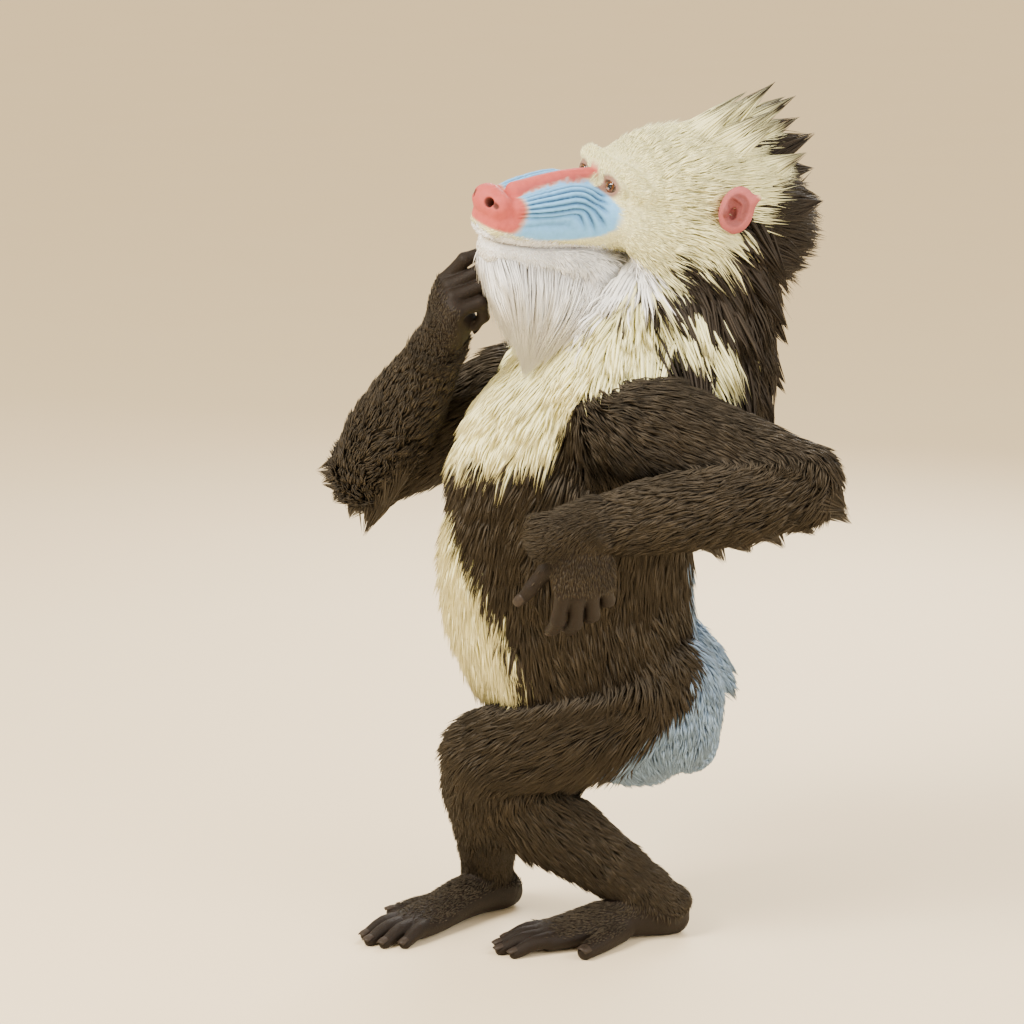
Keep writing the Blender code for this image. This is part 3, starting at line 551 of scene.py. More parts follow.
def melted(group, voxel, clip=None):
    chosen = [shape for shape in shapes if shape["group"] == group]
    band = 3.2 * voxel
    low = np.min([shape["low"] for shape in chosen if not shape["carve"]], axis=0) - band
    high = np.max([shape["high"] for shape in chosen if not shape["carve"]], axis=0) + band
    if clip is not None:
        low, high = np.maximum(low, clip[0]), np.minimum(high, clip[1])
    size = np.ceil((high - low) / voxel).astype(int) + 1
    field = np.full(size, outside, np.float32)
    for shape in chosen:
        margin = shape["soften"] + band
        first = np.clip(np.floor((shape["low"] - margin - low) / voxel).astype(int), 0, size)
        last = np.clip(np.ceil((shape["high"] + margin - low) / voxel).astype(int) + 1, 0, size)
        if (last <= first).any():
            continue
        own = np.full(last - first, outside, np.float32)
        for span in shape["spans"]:
            one = np.floor((span["low"] - margin - low) / voxel).astype(int) - first
            two = np.ceil((span["high"] + margin - low) / voxel).astype(int) + 1 - first
            one, two = np.clip(one, 0, last - first), np.clip(two, 0, last - first)
            if (two <= one).any():
                continue
            axes = [(np.arange(one[i], two[i]) + first[i]) * voxel + low[i] for i in range(3)]
            points = np.stack(np.meshgrid(*axes, indexing="ij"), axis=-1).astype(np.float32)
            distance = spanDistance(span, points.reshape(-1, 3))[0].reshape(points.shape[:3])
            cells = own[one[0]:two[0], one[1]:two[1], one[2]:two[2]]
            np.minimum(cells, distance, out=cells)
        block = field[first[0]:last[0], first[1]:last[1], first[2]:last[2]]
        soften = shape["soften"]
        if shape["carve"]:
            own = -own
        near = np.maximum(soften - np.abs(block - own), 0) / soften
        joined = np.maximum(block, own) if shape["carve"] else np.minimum(block, own)
        block[...] = joined + near * near * soften / 4 * (1 if shape["carve"] else -1)
    grid = openvdb.FloatGrid(outside)
    grid.copyFromArray(field)
    points, _, quads = grid.convertToPolygons(isovalue=0.0, adaptivity=0.0)
    points = points.astype(float) * voxel + low
    a, b, c = points[quads[:, 0]], points[quads[:, 1]], points[quads[:, 2]]
    if np.einsum("ij,ij->i", a, np.cross(b, c)).sum() < 0:
        quads = quads[:, ::-1]
    return points, quads


def normalsOf(points, faces):
    a, b, c, d = (points[faces[:, number]] for number in (0, 1, 2, -1))
    facing = np.cross(b - a, c - a) if faces.shape[1] == 3 else np.cross(c - a, d - b)
    total = np.zeros((len(points), 3))
    for axis in range(3):
        for corner in range(faces.shape[1]):
            total[:, axis] += np.bincount(faces[:, corner], facing[:, axis], len(points))
    return units(total)


def meshOf(name, points, faces):
    data = bpy.data.meshes.new(name)
    corners = faces.shape[1]
    data.vertices.add(len(points))
    data.vertices.foreach_set("co", np.ascontiguousarray(points, np.float32).ravel())
    data.loops.add(len(faces) * corners)
    data.loops.foreach_set("vertex_index", np.ascontiguousarray(faces, np.int32).ravel())
    data.polygons.add(len(faces))
    data.polygons.foreach_set("loop_start", np.arange(0, len(faces) * corners, corners, dtype=np.int32))
    data.update(calc_edges=True)
    data.shade_smooth()
    return data


def arraysOf(data):
    points = np.zeros(len(data.vertices) * 3, np.float32)
    data.vertices.foreach_get("co", points)
    data.calc_loop_triangles()
    faces = np.zeros(len(data.loop_triangles) * 3, np.int32)
    data.loop_triangles.foreach_get("vertices", faces)
    return points.reshape(-1, 3).astype(float), faces.reshape(-1, 3)


def thing(name, data):
    made = bpy.data.objects.new(name, data)
    bpy.context.scene.collection.objects.link(made)
    return made


def thinned(points, faces, triangles):
    # The same surface with about so many triangles, fewest where it is smooth
    made = thing("thinning", meshOf("thinning", points, faces))
    thin = made.modifiers.new("thin", "DECIMATE")
    thin.ratio = min(1, triangles / (len(faces) * (faces.shape[1] - 2)))
    thin.use_collapse_triangulate = True
    bpy.context.view_layer.update()
    data = bpy.data.meshes.new_from_object(made.evaluated_get(bpy.context.evaluated_depsgraph_get()))
    bpy.data.objects.remove(made)
    return data


def spread(starts, fence):
    # Every face that can be reached from the first ones without crossing the fence
    found, waiting = set(starts), list(starts)
    while waiting:
        for edge in waiting.pop().edges:
            if edge in fence:
                continue
            for other in edge.link_faces:
                if other not in found:
                    found.add(other)
                    waiting.append(other)
    return found


def cutEnd(mesh, centre, outward, radius):
    # Cuts off what lies beyond a plane through centre and returns the edges of the opening
    centre, outward = Vector(centre), Vector(outward)
    near = set(face for face in mesh.faces if (face.calc_center_median() - centre).length < radius)
    for face in list(near):
        near.update(face.verts)
        near.update(face.edges)
    cut = bmesh.ops.bisect_plane(mesh, geom=list(near), plane_co=centre, plane_no=outward, dist=1e-6)
    line = set(edge for edge in cut["geom_cut"] if isinstance(edge, bmesh.types.BMEdge))
    rings, fence = [], set(line)
    while line:
        ring, waiting = set(), [line.pop()]
        while waiting:
            edge = waiting.pop()
            ring.add(edge)
            for vertex in edge.verts:
                for other in vertex.link_edges:
                    if other in line:
                        line.discard(other)
                        waiting.append(other)
        middle = sum((edge.verts[0].co + edge.verts[1].co for edge in ring), Vector()) / len(ring) / 2
        rings.append(((middle - centre).length, len(rings), ring))
    ring = min(rings)[2]
    inner = [face for edge in ring for face in edge.link_faces
             if (face.calc_center_median() - centre).dot(outward) < 0]
    kept = spread(inner, fence)
    bmesh.ops.delete(mesh, geom=[face for face in mesh.faces if face not in kept], context="FACES")
    return [edge for edge in ring if edge.is_valid]


# What the fine surface of the face adds to the swellings

faceLines = {   # the pairs of lists: how far forwards in the frame of the head, and the value there
    "swellingAside": ([-0.186, -0.155, -0.120, -0.092], [0.0190, 0.0215, 0.0215, 0.0185]),
    "swellingRise": ([-0.186, -0.155, -0.120, -0.092], [-0.010, -0.001, 0.009, 0.012]),
    "grooveSpacing": 23.0,   # degrees round the swelling beside the nose
    "grooveDepth": 0.0042,
    "lip": ([-0.215, -0.185, -0.150, -0.100, -0.078], [-0.0455, -0.0460, -0.0460, -0.0420, -0.0380]),
    "lipDepth": 0.0024,
    "lipWidth": 0.0012,
    "creaseDepth": 0.0007,
    "creaseSpacing": 0.0042,
}


def grooves(q):
    # How deep in a groove of the swellings beside the nose each point lies, from 0 to 1
    y = q[:, 1]
    outX, outZ = np.interp(y, *faceLines["swellingAside"]), np.interp(y, *faceLines["swellingRise"])
    angle = np.degrees(np.arctan2(q[:, 2] - outZ, np.abs(q[:, 0]) - outX))
    fade = ramp(y, -0.190, -0.172) * ramp(y, -0.086, -0.098) * ramp(angle, -62, -42) * ramp(angle, 128, 108)
    # The grooves fan out and sink towards the cheek
    bend = angle + 60 * ramp(y, -0.135, -0.085) * ramp(angle, 150, 0)
    across = np.abs(np.sin(np.pi * (bend / faceLines["grooveSpacing"] + 0.35)))
    return (1 - across**0.75) * fade


def lipLine(q):
    level = np.interp(q[:, 1], *faceLines["lip"])
    return np.exp(-((q[:, 2] - level) / faceLines["lipWidth"]) ** 2) * ramp(q[:, 1], -0.074, -0.084)


def eyeCreases(q):
    # Folds that ring the eye socket
    away = np.sqrt((np.abs(q[:, 0]) - eyePlace[0]) ** 2 + ((q[:, 2] - eyePlace[2]) * 1.25) ** 2)
    ring = np.abs(np.sin(np.pi * (away - 0.0128) / faceLines["creaseSpacing"]))
    fade = ramp(away, 0.0135, 0.0150) * ramp(away, 0.0270, 0.0200)
    return (1 - ring**0.6) * fade * ramp(q[:, 1], -0.050, -0.066)


def detailHead(points, faces):
    q = placed(headBack, points)
    inwards = grooves(q) * faceLines["grooveDepth"] + lipLine(q) * faceLines["lipDepth"]
    inwards = inwards + eyeCreases(q) * faceLines["creaseDepth"]
    return points - normalsOf(points, faces) * column(inwards)


# The skin: each part is melted and thinned by itself, then joined to the body at a clean cut

skinPlan = {
    "body": (0.0045, 0.006, 38000),
    "head": (0.0013, 0.0020, 84000),
    "hand": (0.0012, 0.0016, 18000),
    "foot": (0.0013, 0.0018, 16000),
    "headClip": (np.array((-0.3, -0.3, 0.64)), np.array((0.3, 0.4, 1.1))),
    "joinGap": 0.0018,
    "floorGap": 0.0003,
    "coatFloorGap": 0.0004,
}
parts = ["body", "head", "hand_left", "hand_right", "foot_left", "foot_right"]
joins = [("head", np.array((0, 0.06, 0.685)), unit((0, -0.15, 1)), 0.16)]
for side, word in sides:
    for name, ends, starts, before in (("hand", wrist, elbow, 0.030), ("foot", ankle, knee, 0.060)):
        way = unit(ends[side] - starts[side])
        joins.append((f"{name}_{word}", ends[side] - way * before, way, 0.05))
flesh = {}
for part in parts:
    voxel, quickVoxel, triangles = skinPlan[part.split("_")[0]]
    clip = skinPlan["headClip"] if part == "head" else None
    points, faces = melted(part, voxel, clip)
    if part == "head":
        points = detailHead(points, faces)
    data = thinned(points, faces, triangles)
    flesh[part] = bmesh.new()
    flesh[part].from_mesh(data)
    flesh[part].verts.layers.int.new("part")
    say(f"{part} melted, {len(faces)} faces thinned to {len(data.polygons)}")

openings = []
for part, centre, way, radius in joins:
    gap = way * skinPlan["joinGap"]
    one = [edge.verts[:] for edge in cutEnd(flesh["body"], centre - gap, way, radius)]
    openings.append((part, one, cutEnd(flesh[part], centre + gap, -way, radius * 2)))
whole = flesh["body"]
partLayer = whole.verts.layers.int["part"]
for part, bodyEdges, partEdges in openings:
    # Carries the part over into the whole and bridges the two openings
    carried = {}
    for vertex in flesh[part].verts:
        carried[vertex] = whole.verts.new(vertex.co)
        carried[vertex][partLayer] = parts.index(part)
    for face in flesh[part].faces:
        whole.faces.new([carried[vertex] for vertex in face.verts])
    edges = [whole.edges.get(pair) for pair in bodyEdges]
    edges += [whole.edges.get([carried[vertex] for vertex in edge.verts]) for edge in partEdges]
    made = bmesh.ops.bridge_loops(whole, edges=[edge for edge in edges if edge is not None])
    flesh[part].free()
    say(f"{part} joined, {len(bodyEdges)} and {len(partEdges)} edges, {len(made['faces'])} faces between")
bmesh.ops.holes_fill(whole, edges=[edge for edge in whole.edges if edge.is_boundary], sides=0)
bmesh.ops.triangulate(whole, faces=[face for face in whole.faces if len(face.verts) > 3])
bmesh.ops.recalc_face_normals(whole, faces=whole.faces)
bmesh.ops.delete(whole, geom=[vertex for vertex in whole.verts if not vertex.link_faces], context="VERTS")
openEdges = sum(1 for edge in whole.edges if not edge.is_manifold)
for vertex in whole.verts:
    vertex.co.z = max(vertex.co.z, skinPlan["floorGap"])
skinData = bpy.data.meshes.new("skin")
whole.to_mesh(skinData)
whole.free()
skinData.shade_smooth()
skin = thing("skin", skinData)
say(f"skin joined: {len(skinData.polygons)} triangles, {openEdges} open edges")

# The unwrap of the skin, which the tufts share

bpy.context.view_layer.objects.active = skin
skin.select_set(True)
skinData.uv_layers.new(name="OFBake")
bpy.ops.object.mode_set(mode="EDIT")
bpy.ops.mesh.select_all(action="SELECT")
bpy.ops.uv.smart_project(angle_limit=math.radians(66), island_margin=0.0015)
bpy.ops.object.mode_set(mode="OBJECT")
skin.select_set(False)
skinPoints, skinFaces = arraysOf(skinData)
loopMaps = np.zeros(len(skinData.loops) * 2, np.float32)
skinData.uv_layers["OFBake"].data.foreach_get("uv", loopMaps)
skinMaps = loopMaps.reshape(-1, 3, 2).astype(float)
partOf = np.zeros(len(skinPoints), np.int32)
skinData.attributes["part"].data.foreach_get("value", partOf)
skinNormals = normalsOf(skinPoints, skinFaces)
corner = skinPoints[skinFaces]
areas = np.linalg.norm(np.cross(corner[:, 1] - corner[:, 0], corner[:, 2] - corner[:, 0]), axis=1) / 2
say(f"skin unwrapped, {areas.sum():.3f} square metres")

# The lie and depth of the coat at each point of the skin, from the swellings under it

headTags = ["crown", "cheek", "brow", "lid", "muzzle", "bridge", "nose", "jaw", "ear"]
tags = ["trunk", "rump", "neck", "bib", "tail", "arm", "leg", "hand", "finger", "foot", "toe", *headTags]
coatReach = 0.02   # how far from a swelling its coat still counts


def within(points, box, margin):
    return np.all(points > box["low"] - margin, axis=1) & np.all(points < box["high"] + margin, axis=1)


def survey(points, part):
    nearest = np.full(len(points), 1.0)
    tagOf = np.zeros(len(points), int)
    weight = np.full(len(points), 1e-12)
    lie = np.zeros((len(points), 3))
    coat = np.zeros(len(points))
    maned = np.zeros(len(points))
    fromNose = units(points - placed(headFrame, (0, -0.115, -0.002)))
    up = turned(headFrame, (0, 0.5, 0.3))[0]
    fromNose = units(fromNose + up * column(ramp(placed(headBack, points)[:, 2], 0.02, 0.08)) * 0.8)
    downJaw = turned(headFrame, (0, 0.55, -1))[0]
    downNeck = units(np.stack([points[:, 0] * 1.5, -0.6 * ramp(points[:, 1], 0.05, -0.05) + 0.15,
                               points[:, 1] * 0 - 1], axis=1))
    for shape in shapes:
        if shape["carve"]:
            continue
        mine = np.flatnonzero((part == parts.index(shape["group"])) & within(points, shape, coatReach))
        tag = shape["tag"]
        for span in shape["spans"]:
            near = mine[within(points[mine], span, coatReach)]
            if not len(near):
                continue
            distance, t = spanDistance(span, points[near].astype(np.float32))
            closer = distance < nearest[near]
            nearest[near[closer]] = distance[closer]
            tagOf[near[closer]] = tags.index(tag)
            share = np.exp(-np.maximum(distance, -0.004) / 0.005)
            weight[near] += share
            coat[near] += share * (span["a"][5] + (span["b"][5] - span["a"][5]) * t)
            if tag == "jaw":
                lie[near] += column(share) * downJaw
            elif tag in headTags:
                lie[near] += column(share) * fromNose[near]
            elif tag in ("neck", "bib"):
                lie[near] += column(share) * downNeck[near]
            else:
                lie[near] += column(share) * span["along"] * shape["lie"]
            if tag in ("neck", "bib", "crown", "cheek", "jaw"):
                maned[near] += share
    return tagOf, lie / column(weight), coat / weight, maned / weight


tagOf, lieOf, coatOf, manedOf = survey(skinPoints, partOf)
inHead = placed(headBack, skinPoints)
for side, word in sides:
    # The hair parts round the eyes and before the ears
    for middle, size in ((eyePlace, 0.013), (earPlace, 0.016)):
        away = inHead - middle * (side, 1, 1)
        near = np.exp(-(np.linalg.norm(away, axis=1) / size) ** 2) * (partOf == 1)
        lieOf += turned(headFrame, away) * column(near) * 2.2


def tangents(ways, normals):
    return units(ways - normals * column(np.einsum("ij,ij->i", ways, normals)))


lieOf = tangents(lieOf + (0, 0, -0.02), skinNormals)


def tagged(*names):
    return np.isin(tagOf, [tags.index(name) for name in names]).astype(float)


# Markings, told from the place on the body alone, for skin and hair alike

markPlan = {   # the pairs of lists: a place along the body or head, and the value there
    "swell": 0.030,   # how far apart the waves of the edges are
    "wave": 0.006,    # how far they swing
    "capBottom": ([-0.05, 0.0, 0.03, 0.06], [-0.034, -0.014, 0.010, 0.020]),   # in the frame of the head
    "scarfBottom": (0.552, 0.614),   # in front and behind
    "scarfBack": 0.115,
    "belly": ([0.25, 0.28, 0.33, 0.40, 0.45, 0.49], [0, 0.046, 0.068, 0.064, 0.044, 0.014]),   # half width
    "rumpEdge": 0.074,
    "rumpTop": 0.435,
}


def markings(points, maned):
    # Shares of cream, white, grey and dark
    aside, ahead, above = placed(headBack, points).T   # in the frame of the head
    x, y, z = points.T
    wave = ripple(points, markPlan["swell"], 5)[:, 0] * markPlan["wave"]
    brow = ahead - 0.8 * np.maximum(above - 0.03, 0)
    under = np.interp(ahead, *markPlan["capBottom"])
    cap = ramp(above + wave, under - 0.006, under + 0.006)
    cap = cap * ramp(brow + wave, 0.066, 0.046) * ramp(z, 0.66, 0.69)
    face = ramp(ahead, -0.010, -0.035) * ramp(above, -0.062, -0.050) * ramp(z, 0.66, 0.69)
    white = ramp(above + wave * 0.5, -0.032, -0.040) * ramp(ahead + wave, -0.026, -0.040)
    white = white * ramp(z, 0.64, 0.66) * ramp(np.abs(aside), 0.075, 0.060) * ramp(above, -0.112, -0.096)
    front, behind = markPlan["scarfBottom"]
    low = front + (behind - front) * ramp(y, -0.150, 0.030) + wave * 1.5
    back = markPlan["scarfBack"] - (0.72 - z) * 0.45 + wave
    scarf = ramp(above + wave, -0.058, -0.070) * ramp(z, low - 0.006, low + 0.012)
    scarf = scarf * ramp(y, back + 0.008, back - 0.012) * ramp(maned, 0.25, 0.6)
    wide = np.interp(z, *markPlan["belly"])
    belly = ramp(np.abs(x + 0.004) + wave * 1.3, wide + 0.005, wide - 0.006)
    belly = belly * ramp(y, -0.06, -0.08) * ramp(maned, 0.3, 0.1)
    edge = markPlan["rumpEdge"] - np.maximum(0.29 - z, 0) * 1.1
    top = markPlan["rumpTop"]
    grey = ramp(y + wave, edge - 0.006, edge + 0.008) * ramp(z, top + 0.010, top - 0.010)
    grey = grey * ramp(z, 0.150, 0.172)
    cream = np.clip(np.maximum.reduce([cap, face, scarf, belly]), 0, 1) * (1 - white)
    dark = ramp(maned, 0.3, 0.7) * (1 - cream) * (1 - white) * ramp(z, 0.52, 0.58) * 0.85
    return np.stack([cream, white, grey * (1 - cream), dark], axis=1)


marksOf = markings(skinPoints, manedOf) * column(np.isin(partOf, (0, 1)))
marksOf[:, 0] *= 1 - tagged("leg", "arm")
marksOf[:, 2] *= 1 - np.maximum(tagged("arm"), tagged("leg") * ramp(skinPoints[:, 2], 0.235, 0.205))

# Bare skin: the blue swellings, the nose and its bridge, ears, eyelids, lips, palms and soles

facePlan = {   # how far forwards in the frame of the head, and the value there
    "blueBottom": ([muzzleTip, -0.186, -0.155, -0.120, -0.090, -0.080],
                   [-0.030, -0.033, -0.034, -0.029, -0.020, -0.010]),
    "blueTop": ([-0.150, -0.120, -0.100, -0.088, -0.080], [0.060, 0.040, 0.024, 0.018, 0.012]),
    "redRidge": ([muzzleTip, -0.186, -0.155, -0.120, -0.090, -0.080],
                 [0.030, 0.0135, 0.0100, 0.0085, 0.0072, 0.0030]),   # half width
}
x, y, z = inHead.T
wide = np.abs(x)
onFace = (partOf == 1).astype(float)
lowEdge = np.interp(y, *facePlan["blueBottom"])
behind = -0.074 - 0.10 * np.maximum(wide - 0.030, 0)
blue = ramp(z, lowEdge - 0.003, lowEdge + 0.002) * ramp(y, behind, -0.084)
roof = np.interp(y, *facePlan["blueTop"])
blue *= ramp(y, muzzleTip - 0.002, muzzleTip + 0.010) * onFace * ramp(z, roof + 0.002, roof - 0.002)
nearNose = ramp(np.hypot(y - muzzleTip, z + 0.012), 0.030, 0.022) * ramp(z, -0.034, -0.030)
ridge = np.interp(y, *facePlan["redRidge"])
fray = ripple(skinPoints, 0.010, 61)[:, 0] * 0.0010
bridge = ramp(wide + fray, ridge + 0.001, ridge - 0.002) * ramp(y + fray * 2, -0.074, -0.090)
bridge *= ramp(z, 0.046, 0.036)
pink = np.maximum(bridge * ramp(z, -0.02, -0.015), nearNose) * onFace
fromEar = np.linalg.norm(np.stack([wide, y, z], axis=1) - earPlace, axis=1)
ear = tagged("ear") * ramp(fromEar, 0.030, 0.024)
lip = np.clip(lipLine(inHead) * 1.5, 0, 1) * onFace * ramp(z, -0.060, -0.052)
hollows = {"nostril": np.zeros(len(x)), "earBowl": np.zeros(len(x))}
for shape in shapes:
    if shape["carve"] and shape["tag"] in hollows:
        hollow = hollows[shape["tag"]]
        near = np.flatnonzero((partOf == 1) & within(skinPoints, shape, 0.006))
        for span in shape["spans"]:
            depth = spanDistance(span, skinPoints[near].astype(np.float32))[0]
            hollow[near] = np.maximum(hollow[near], ramp(depth, 0.0016, 0.0002))
grooveShade = np.clip(grooves(inHead) * onFace * blue * 1.4, 0, 1)
fromEye = np.hypot((wide - eyePlace[0]) / 1.15, z - eyePlace[2]) + np.maximum(y + 0.062, 0)
lid = ramp(fromEye, 0.0128, 0.0095) * onFace
limbHair = np.zeros(len(x))
for side, word in sides:
    # Short hair on the backs of hands and feet, none on fingers, toes, palms and soles
    along, palm, thumb = handAxes(side)
    mine = partOf == parts.index(f"hand_{word}")
    fromWrist = skinPoints - wrist[side]
    ahead = fromWrist @ along
    facing = ramp(-(skinNormals @ palm), -0.10, 0.45) * ramp(ahead, 0.076, 0.052)
    facing *= 1 - 0.9 * tagged("finger")
    cuff = ramp(fromWrist @ unit(wrist[side] - elbow[side]), 0.022, 0.0) * ramp(ahead, 0.048, 0.030)
    limbHair = np.where(mine, np.maximum(facing, cuff), limbHair)
    mine = partOf == parts.index(f"foot_{word}")
    x, y, z = placed(np.linalg.inv(footPlace[side]), skinPoints).T
    facing = ramp(skinNormals[:, 2], 0.05, 0.5) * ramp(y, -0.128, -0.096) * ramp(z, 0.012, 0.024)
    limbHair = np.where(mine, np.maximum(facing, ramp(z, 0.024, 0.044)), limbHair)
    coatOf = np.where(mine, np.maximum(coatOf, 0.0024 + 0.0016 * ramp(z, 0.030, 0.060)), coatOf)
coatOf = coatOf + tagged("brow") * 0.0022
extremity = (partOf >= 2).astype(float)
bare = np.clip(np.maximum.reduce([blue, pink, ear, lid, lip]), 0, 1)
bare = np.where(extremity > 0, 1 - limbHair, bare)
# Painted shade: darker in the furrows of the blue swellings, in the nostrils and ear bowls and along the lip
# line
recessShade = np.clip(np.maximum.reduce([grooveShade, hollows["nostril"], hollows["earBowl"] * 0.55, lip * 0.8]), 0, 1)
say("skin marked")


def addColour(data, name, values):
    layer = data.attributes.new(name, "FLOAT_COLOR", "POINT")
    layer.data.foreach_set("color", np.ascontiguousarray(values, np.float32).ravel())


addColour(skinData, "marks", marksOf)
addColour(skinData, "flesh", np.stack([blue * (1 - pink), np.maximum(pink, ear), recessShade, bare], axis=1))
addColour(skinData, "zone", np.stack([extremity, ear, lid, np.clip(coatOf / 0.03, 0, 1)], axis=1))

# Tufts: thin closed prisms that bend from their root into the lie of the coat

tuftPlan = {
    "rootDepth": 0.0012,       # under the skin
    "bakePatch": 0.003,        # of the unwrap, for each tuft
    "mostTriangles": 190000,   # in one piece
    "stops": {2: (0.0, 0.45), 3: (0.0, 0.33, 0.70)},   # shares of the length, by the number of rings
    "girths": {2: (0.75, 0.85), 3: (0.75, 1.0, 0.66)},
    "share": 1.0,
    "broader": 1.0,
}
hairCount = 0
coats = []


def prisms(tufts, rings, seed):
    # first and last are the ways at root and tip, already as long as the tuft
    root, first, last, bend = tufts["root"], tufts["first"], tufts["last"], tufts["bend"]
    count = len(root)
    angle = np.random.default_rng(seed).normal(0, 0.5, count)
    corners, along, across = [], [], []
    for stop, share in zip(tuftPlan["stops"][rings], tuftPlan["girths"][rings]):
        middle = root + first * (stop - stop * stop / 2) + last * (stop * stop / 2) + bend * stop * stop
        way = units(first * (1 - stop) + last * stop)
        side = units(np.cross(way, tufts["out"]))
        flat = side * column(np.cos(angle)) + np.cross(side, way) * column(np.sin(angle))
        over = np.cross(flat, way)
        half = column(tufts["width"] * share / 2)
        corners += [middle - flat * half - over * half * 0.2, middle + flat * half - over * half * 0.2,
                    middle + over * half * 0.8]
        along += [stop] * 3
        across += [0.0, 1.0, 0.5]
    corners.append(root + (first + last) / 2 + bend)
    along, across = np.array(along + [1.0]), np.array(across + [0.5])
    size = len(along)
    faces = [(2, 1, 0)]
    edges = ((0, 1), (1, 2), (2, 0))
    for low in range(0, size - 4, 3):
        for a, b in edges:
            faces += [(low + a, low + b, low + 3 + b), (low + a, low + 3 + b, low + 3 + a)]
    faces += [(size - 4 + a, size - 4 + b, size - 1) for a, b in edges]
    hair = np.broadcast_arrays(along, across, column(tufts["tone"]), column(tufts["dark"]))
    patch = tuftPlan["bakePatch"] * np.stack([across - 0.5, along - 0.5], axis=1)
    patch = tufts["maps"][:, None, :] + patch[None]
    return {
        "points": np.stack(corners, axis=1).reshape(-1, 3), "hair": np.stack(hair, axis=2).reshape(-1, 4),
        "faces": (np.array(faces)[None] + np.arange(count)[:, None, None] * size).reshape(-1, 3),
        "marks": np.repeat(tufts["marks"], size, axis=0), "maps": patch.reshape(-1, 2),
        "facesEach": len(faces), "pointsEach": size,
    }


def coatPiece(name, groups, seed, rings):
    # The groups of tufts as one mesh or more
    global hairCount
    tufts = {key: np.concatenate([group[key] for group in groups]) for key in groups[0]}
    made = prisms(tufts, rings, seed)
    count = len(tufts["root"])
    pieces = math.ceil(count * made["facesEach"] / tuftPlan["mostTriangles"])
    for number in range(pieces):
        start, end = count * number // pieces, count * (number + 1) // pieces
        rows = slice(start * made["pointsEach"], end * made["pointsEach"])
        points = made["points"][rows] + shift
        points[:, 2] = np.maximum(points[:, 2], skinPlan["coatFloorGap"])
        faces = made["faces"][start * made["facesEach"]:end * made["facesEach"]] - rows.start
        label = name if pieces == 1 else f"{name}_{number + 1}"
        data = meshOf(label, points, faces)
        addColour(data, "hair", made["hair"][rows])
        addColour(data, "marks", made["marks"][rows])
        unwrap = made["maps"][rows][faces.ravel()].astype(np.float32)
        data.uv_layers.new(name="OFBake").data.foreach_set("uv", unwrap.ravel())
        coats.append(thing(label, data))
        hairCount += len(faces)
    say(f"{name}: {count} tufts")


def rooted(count, weight, seed):
    # Even, jittered roots over the skin with the values there
    pick = np.random.default_rng(seed)
    share = np.cumsum(areas * weight[skinFaces].mean(axis=1))
    places = (np.arange(count) + pick.uniform(0, 1, count)) / count * share[-1]
    chosen = np.searchsorted(share, places).clip(0, len(skinFaces) - 1)
    a, b = pick.uniform(0, 1, (2, count))
    flip = a + b > 1
    a[flip], b[flip] = 1 - a[flip], 1 - b[flip]
    blend = np.stack([1 - a - b, a, b], axis=1)

    def mix(values):
        return np.einsum("ij,ij...->i...", blend, values[skinFaces[chosen]])

    normals = units(mix(skinNormals))
    return {
        "root": mix(skinPoints), "normal": normals, "lie": tangents(mix(lieOf), normals), "coat": mix(coatOf),
        "marks": mix(marksOf), "maps": np.einsum("ij,ijk->ik", blend, skinMaps[chosen]),
    }


def chooseMarks(marks, seed):
    # Each tuft is one colour, so that the edges of the markings are ragged
    draw = np.random.default_rng(seed).uniform(0, 1, len(marks))
    total = np.cumsum(marks[:, :3], axis=1)
    picked = np.stack([draw < total[:, 0], (draw >= total[:, 0]) & (draw < total[:, 1]),
                       (draw >= total[:, 1]) & (draw < total[:, 2])], axis=1).astype(float)
    return np.hstack([picked, marks[:, 3:] * (1 - picked.sum(axis=1, keepdims=True))])


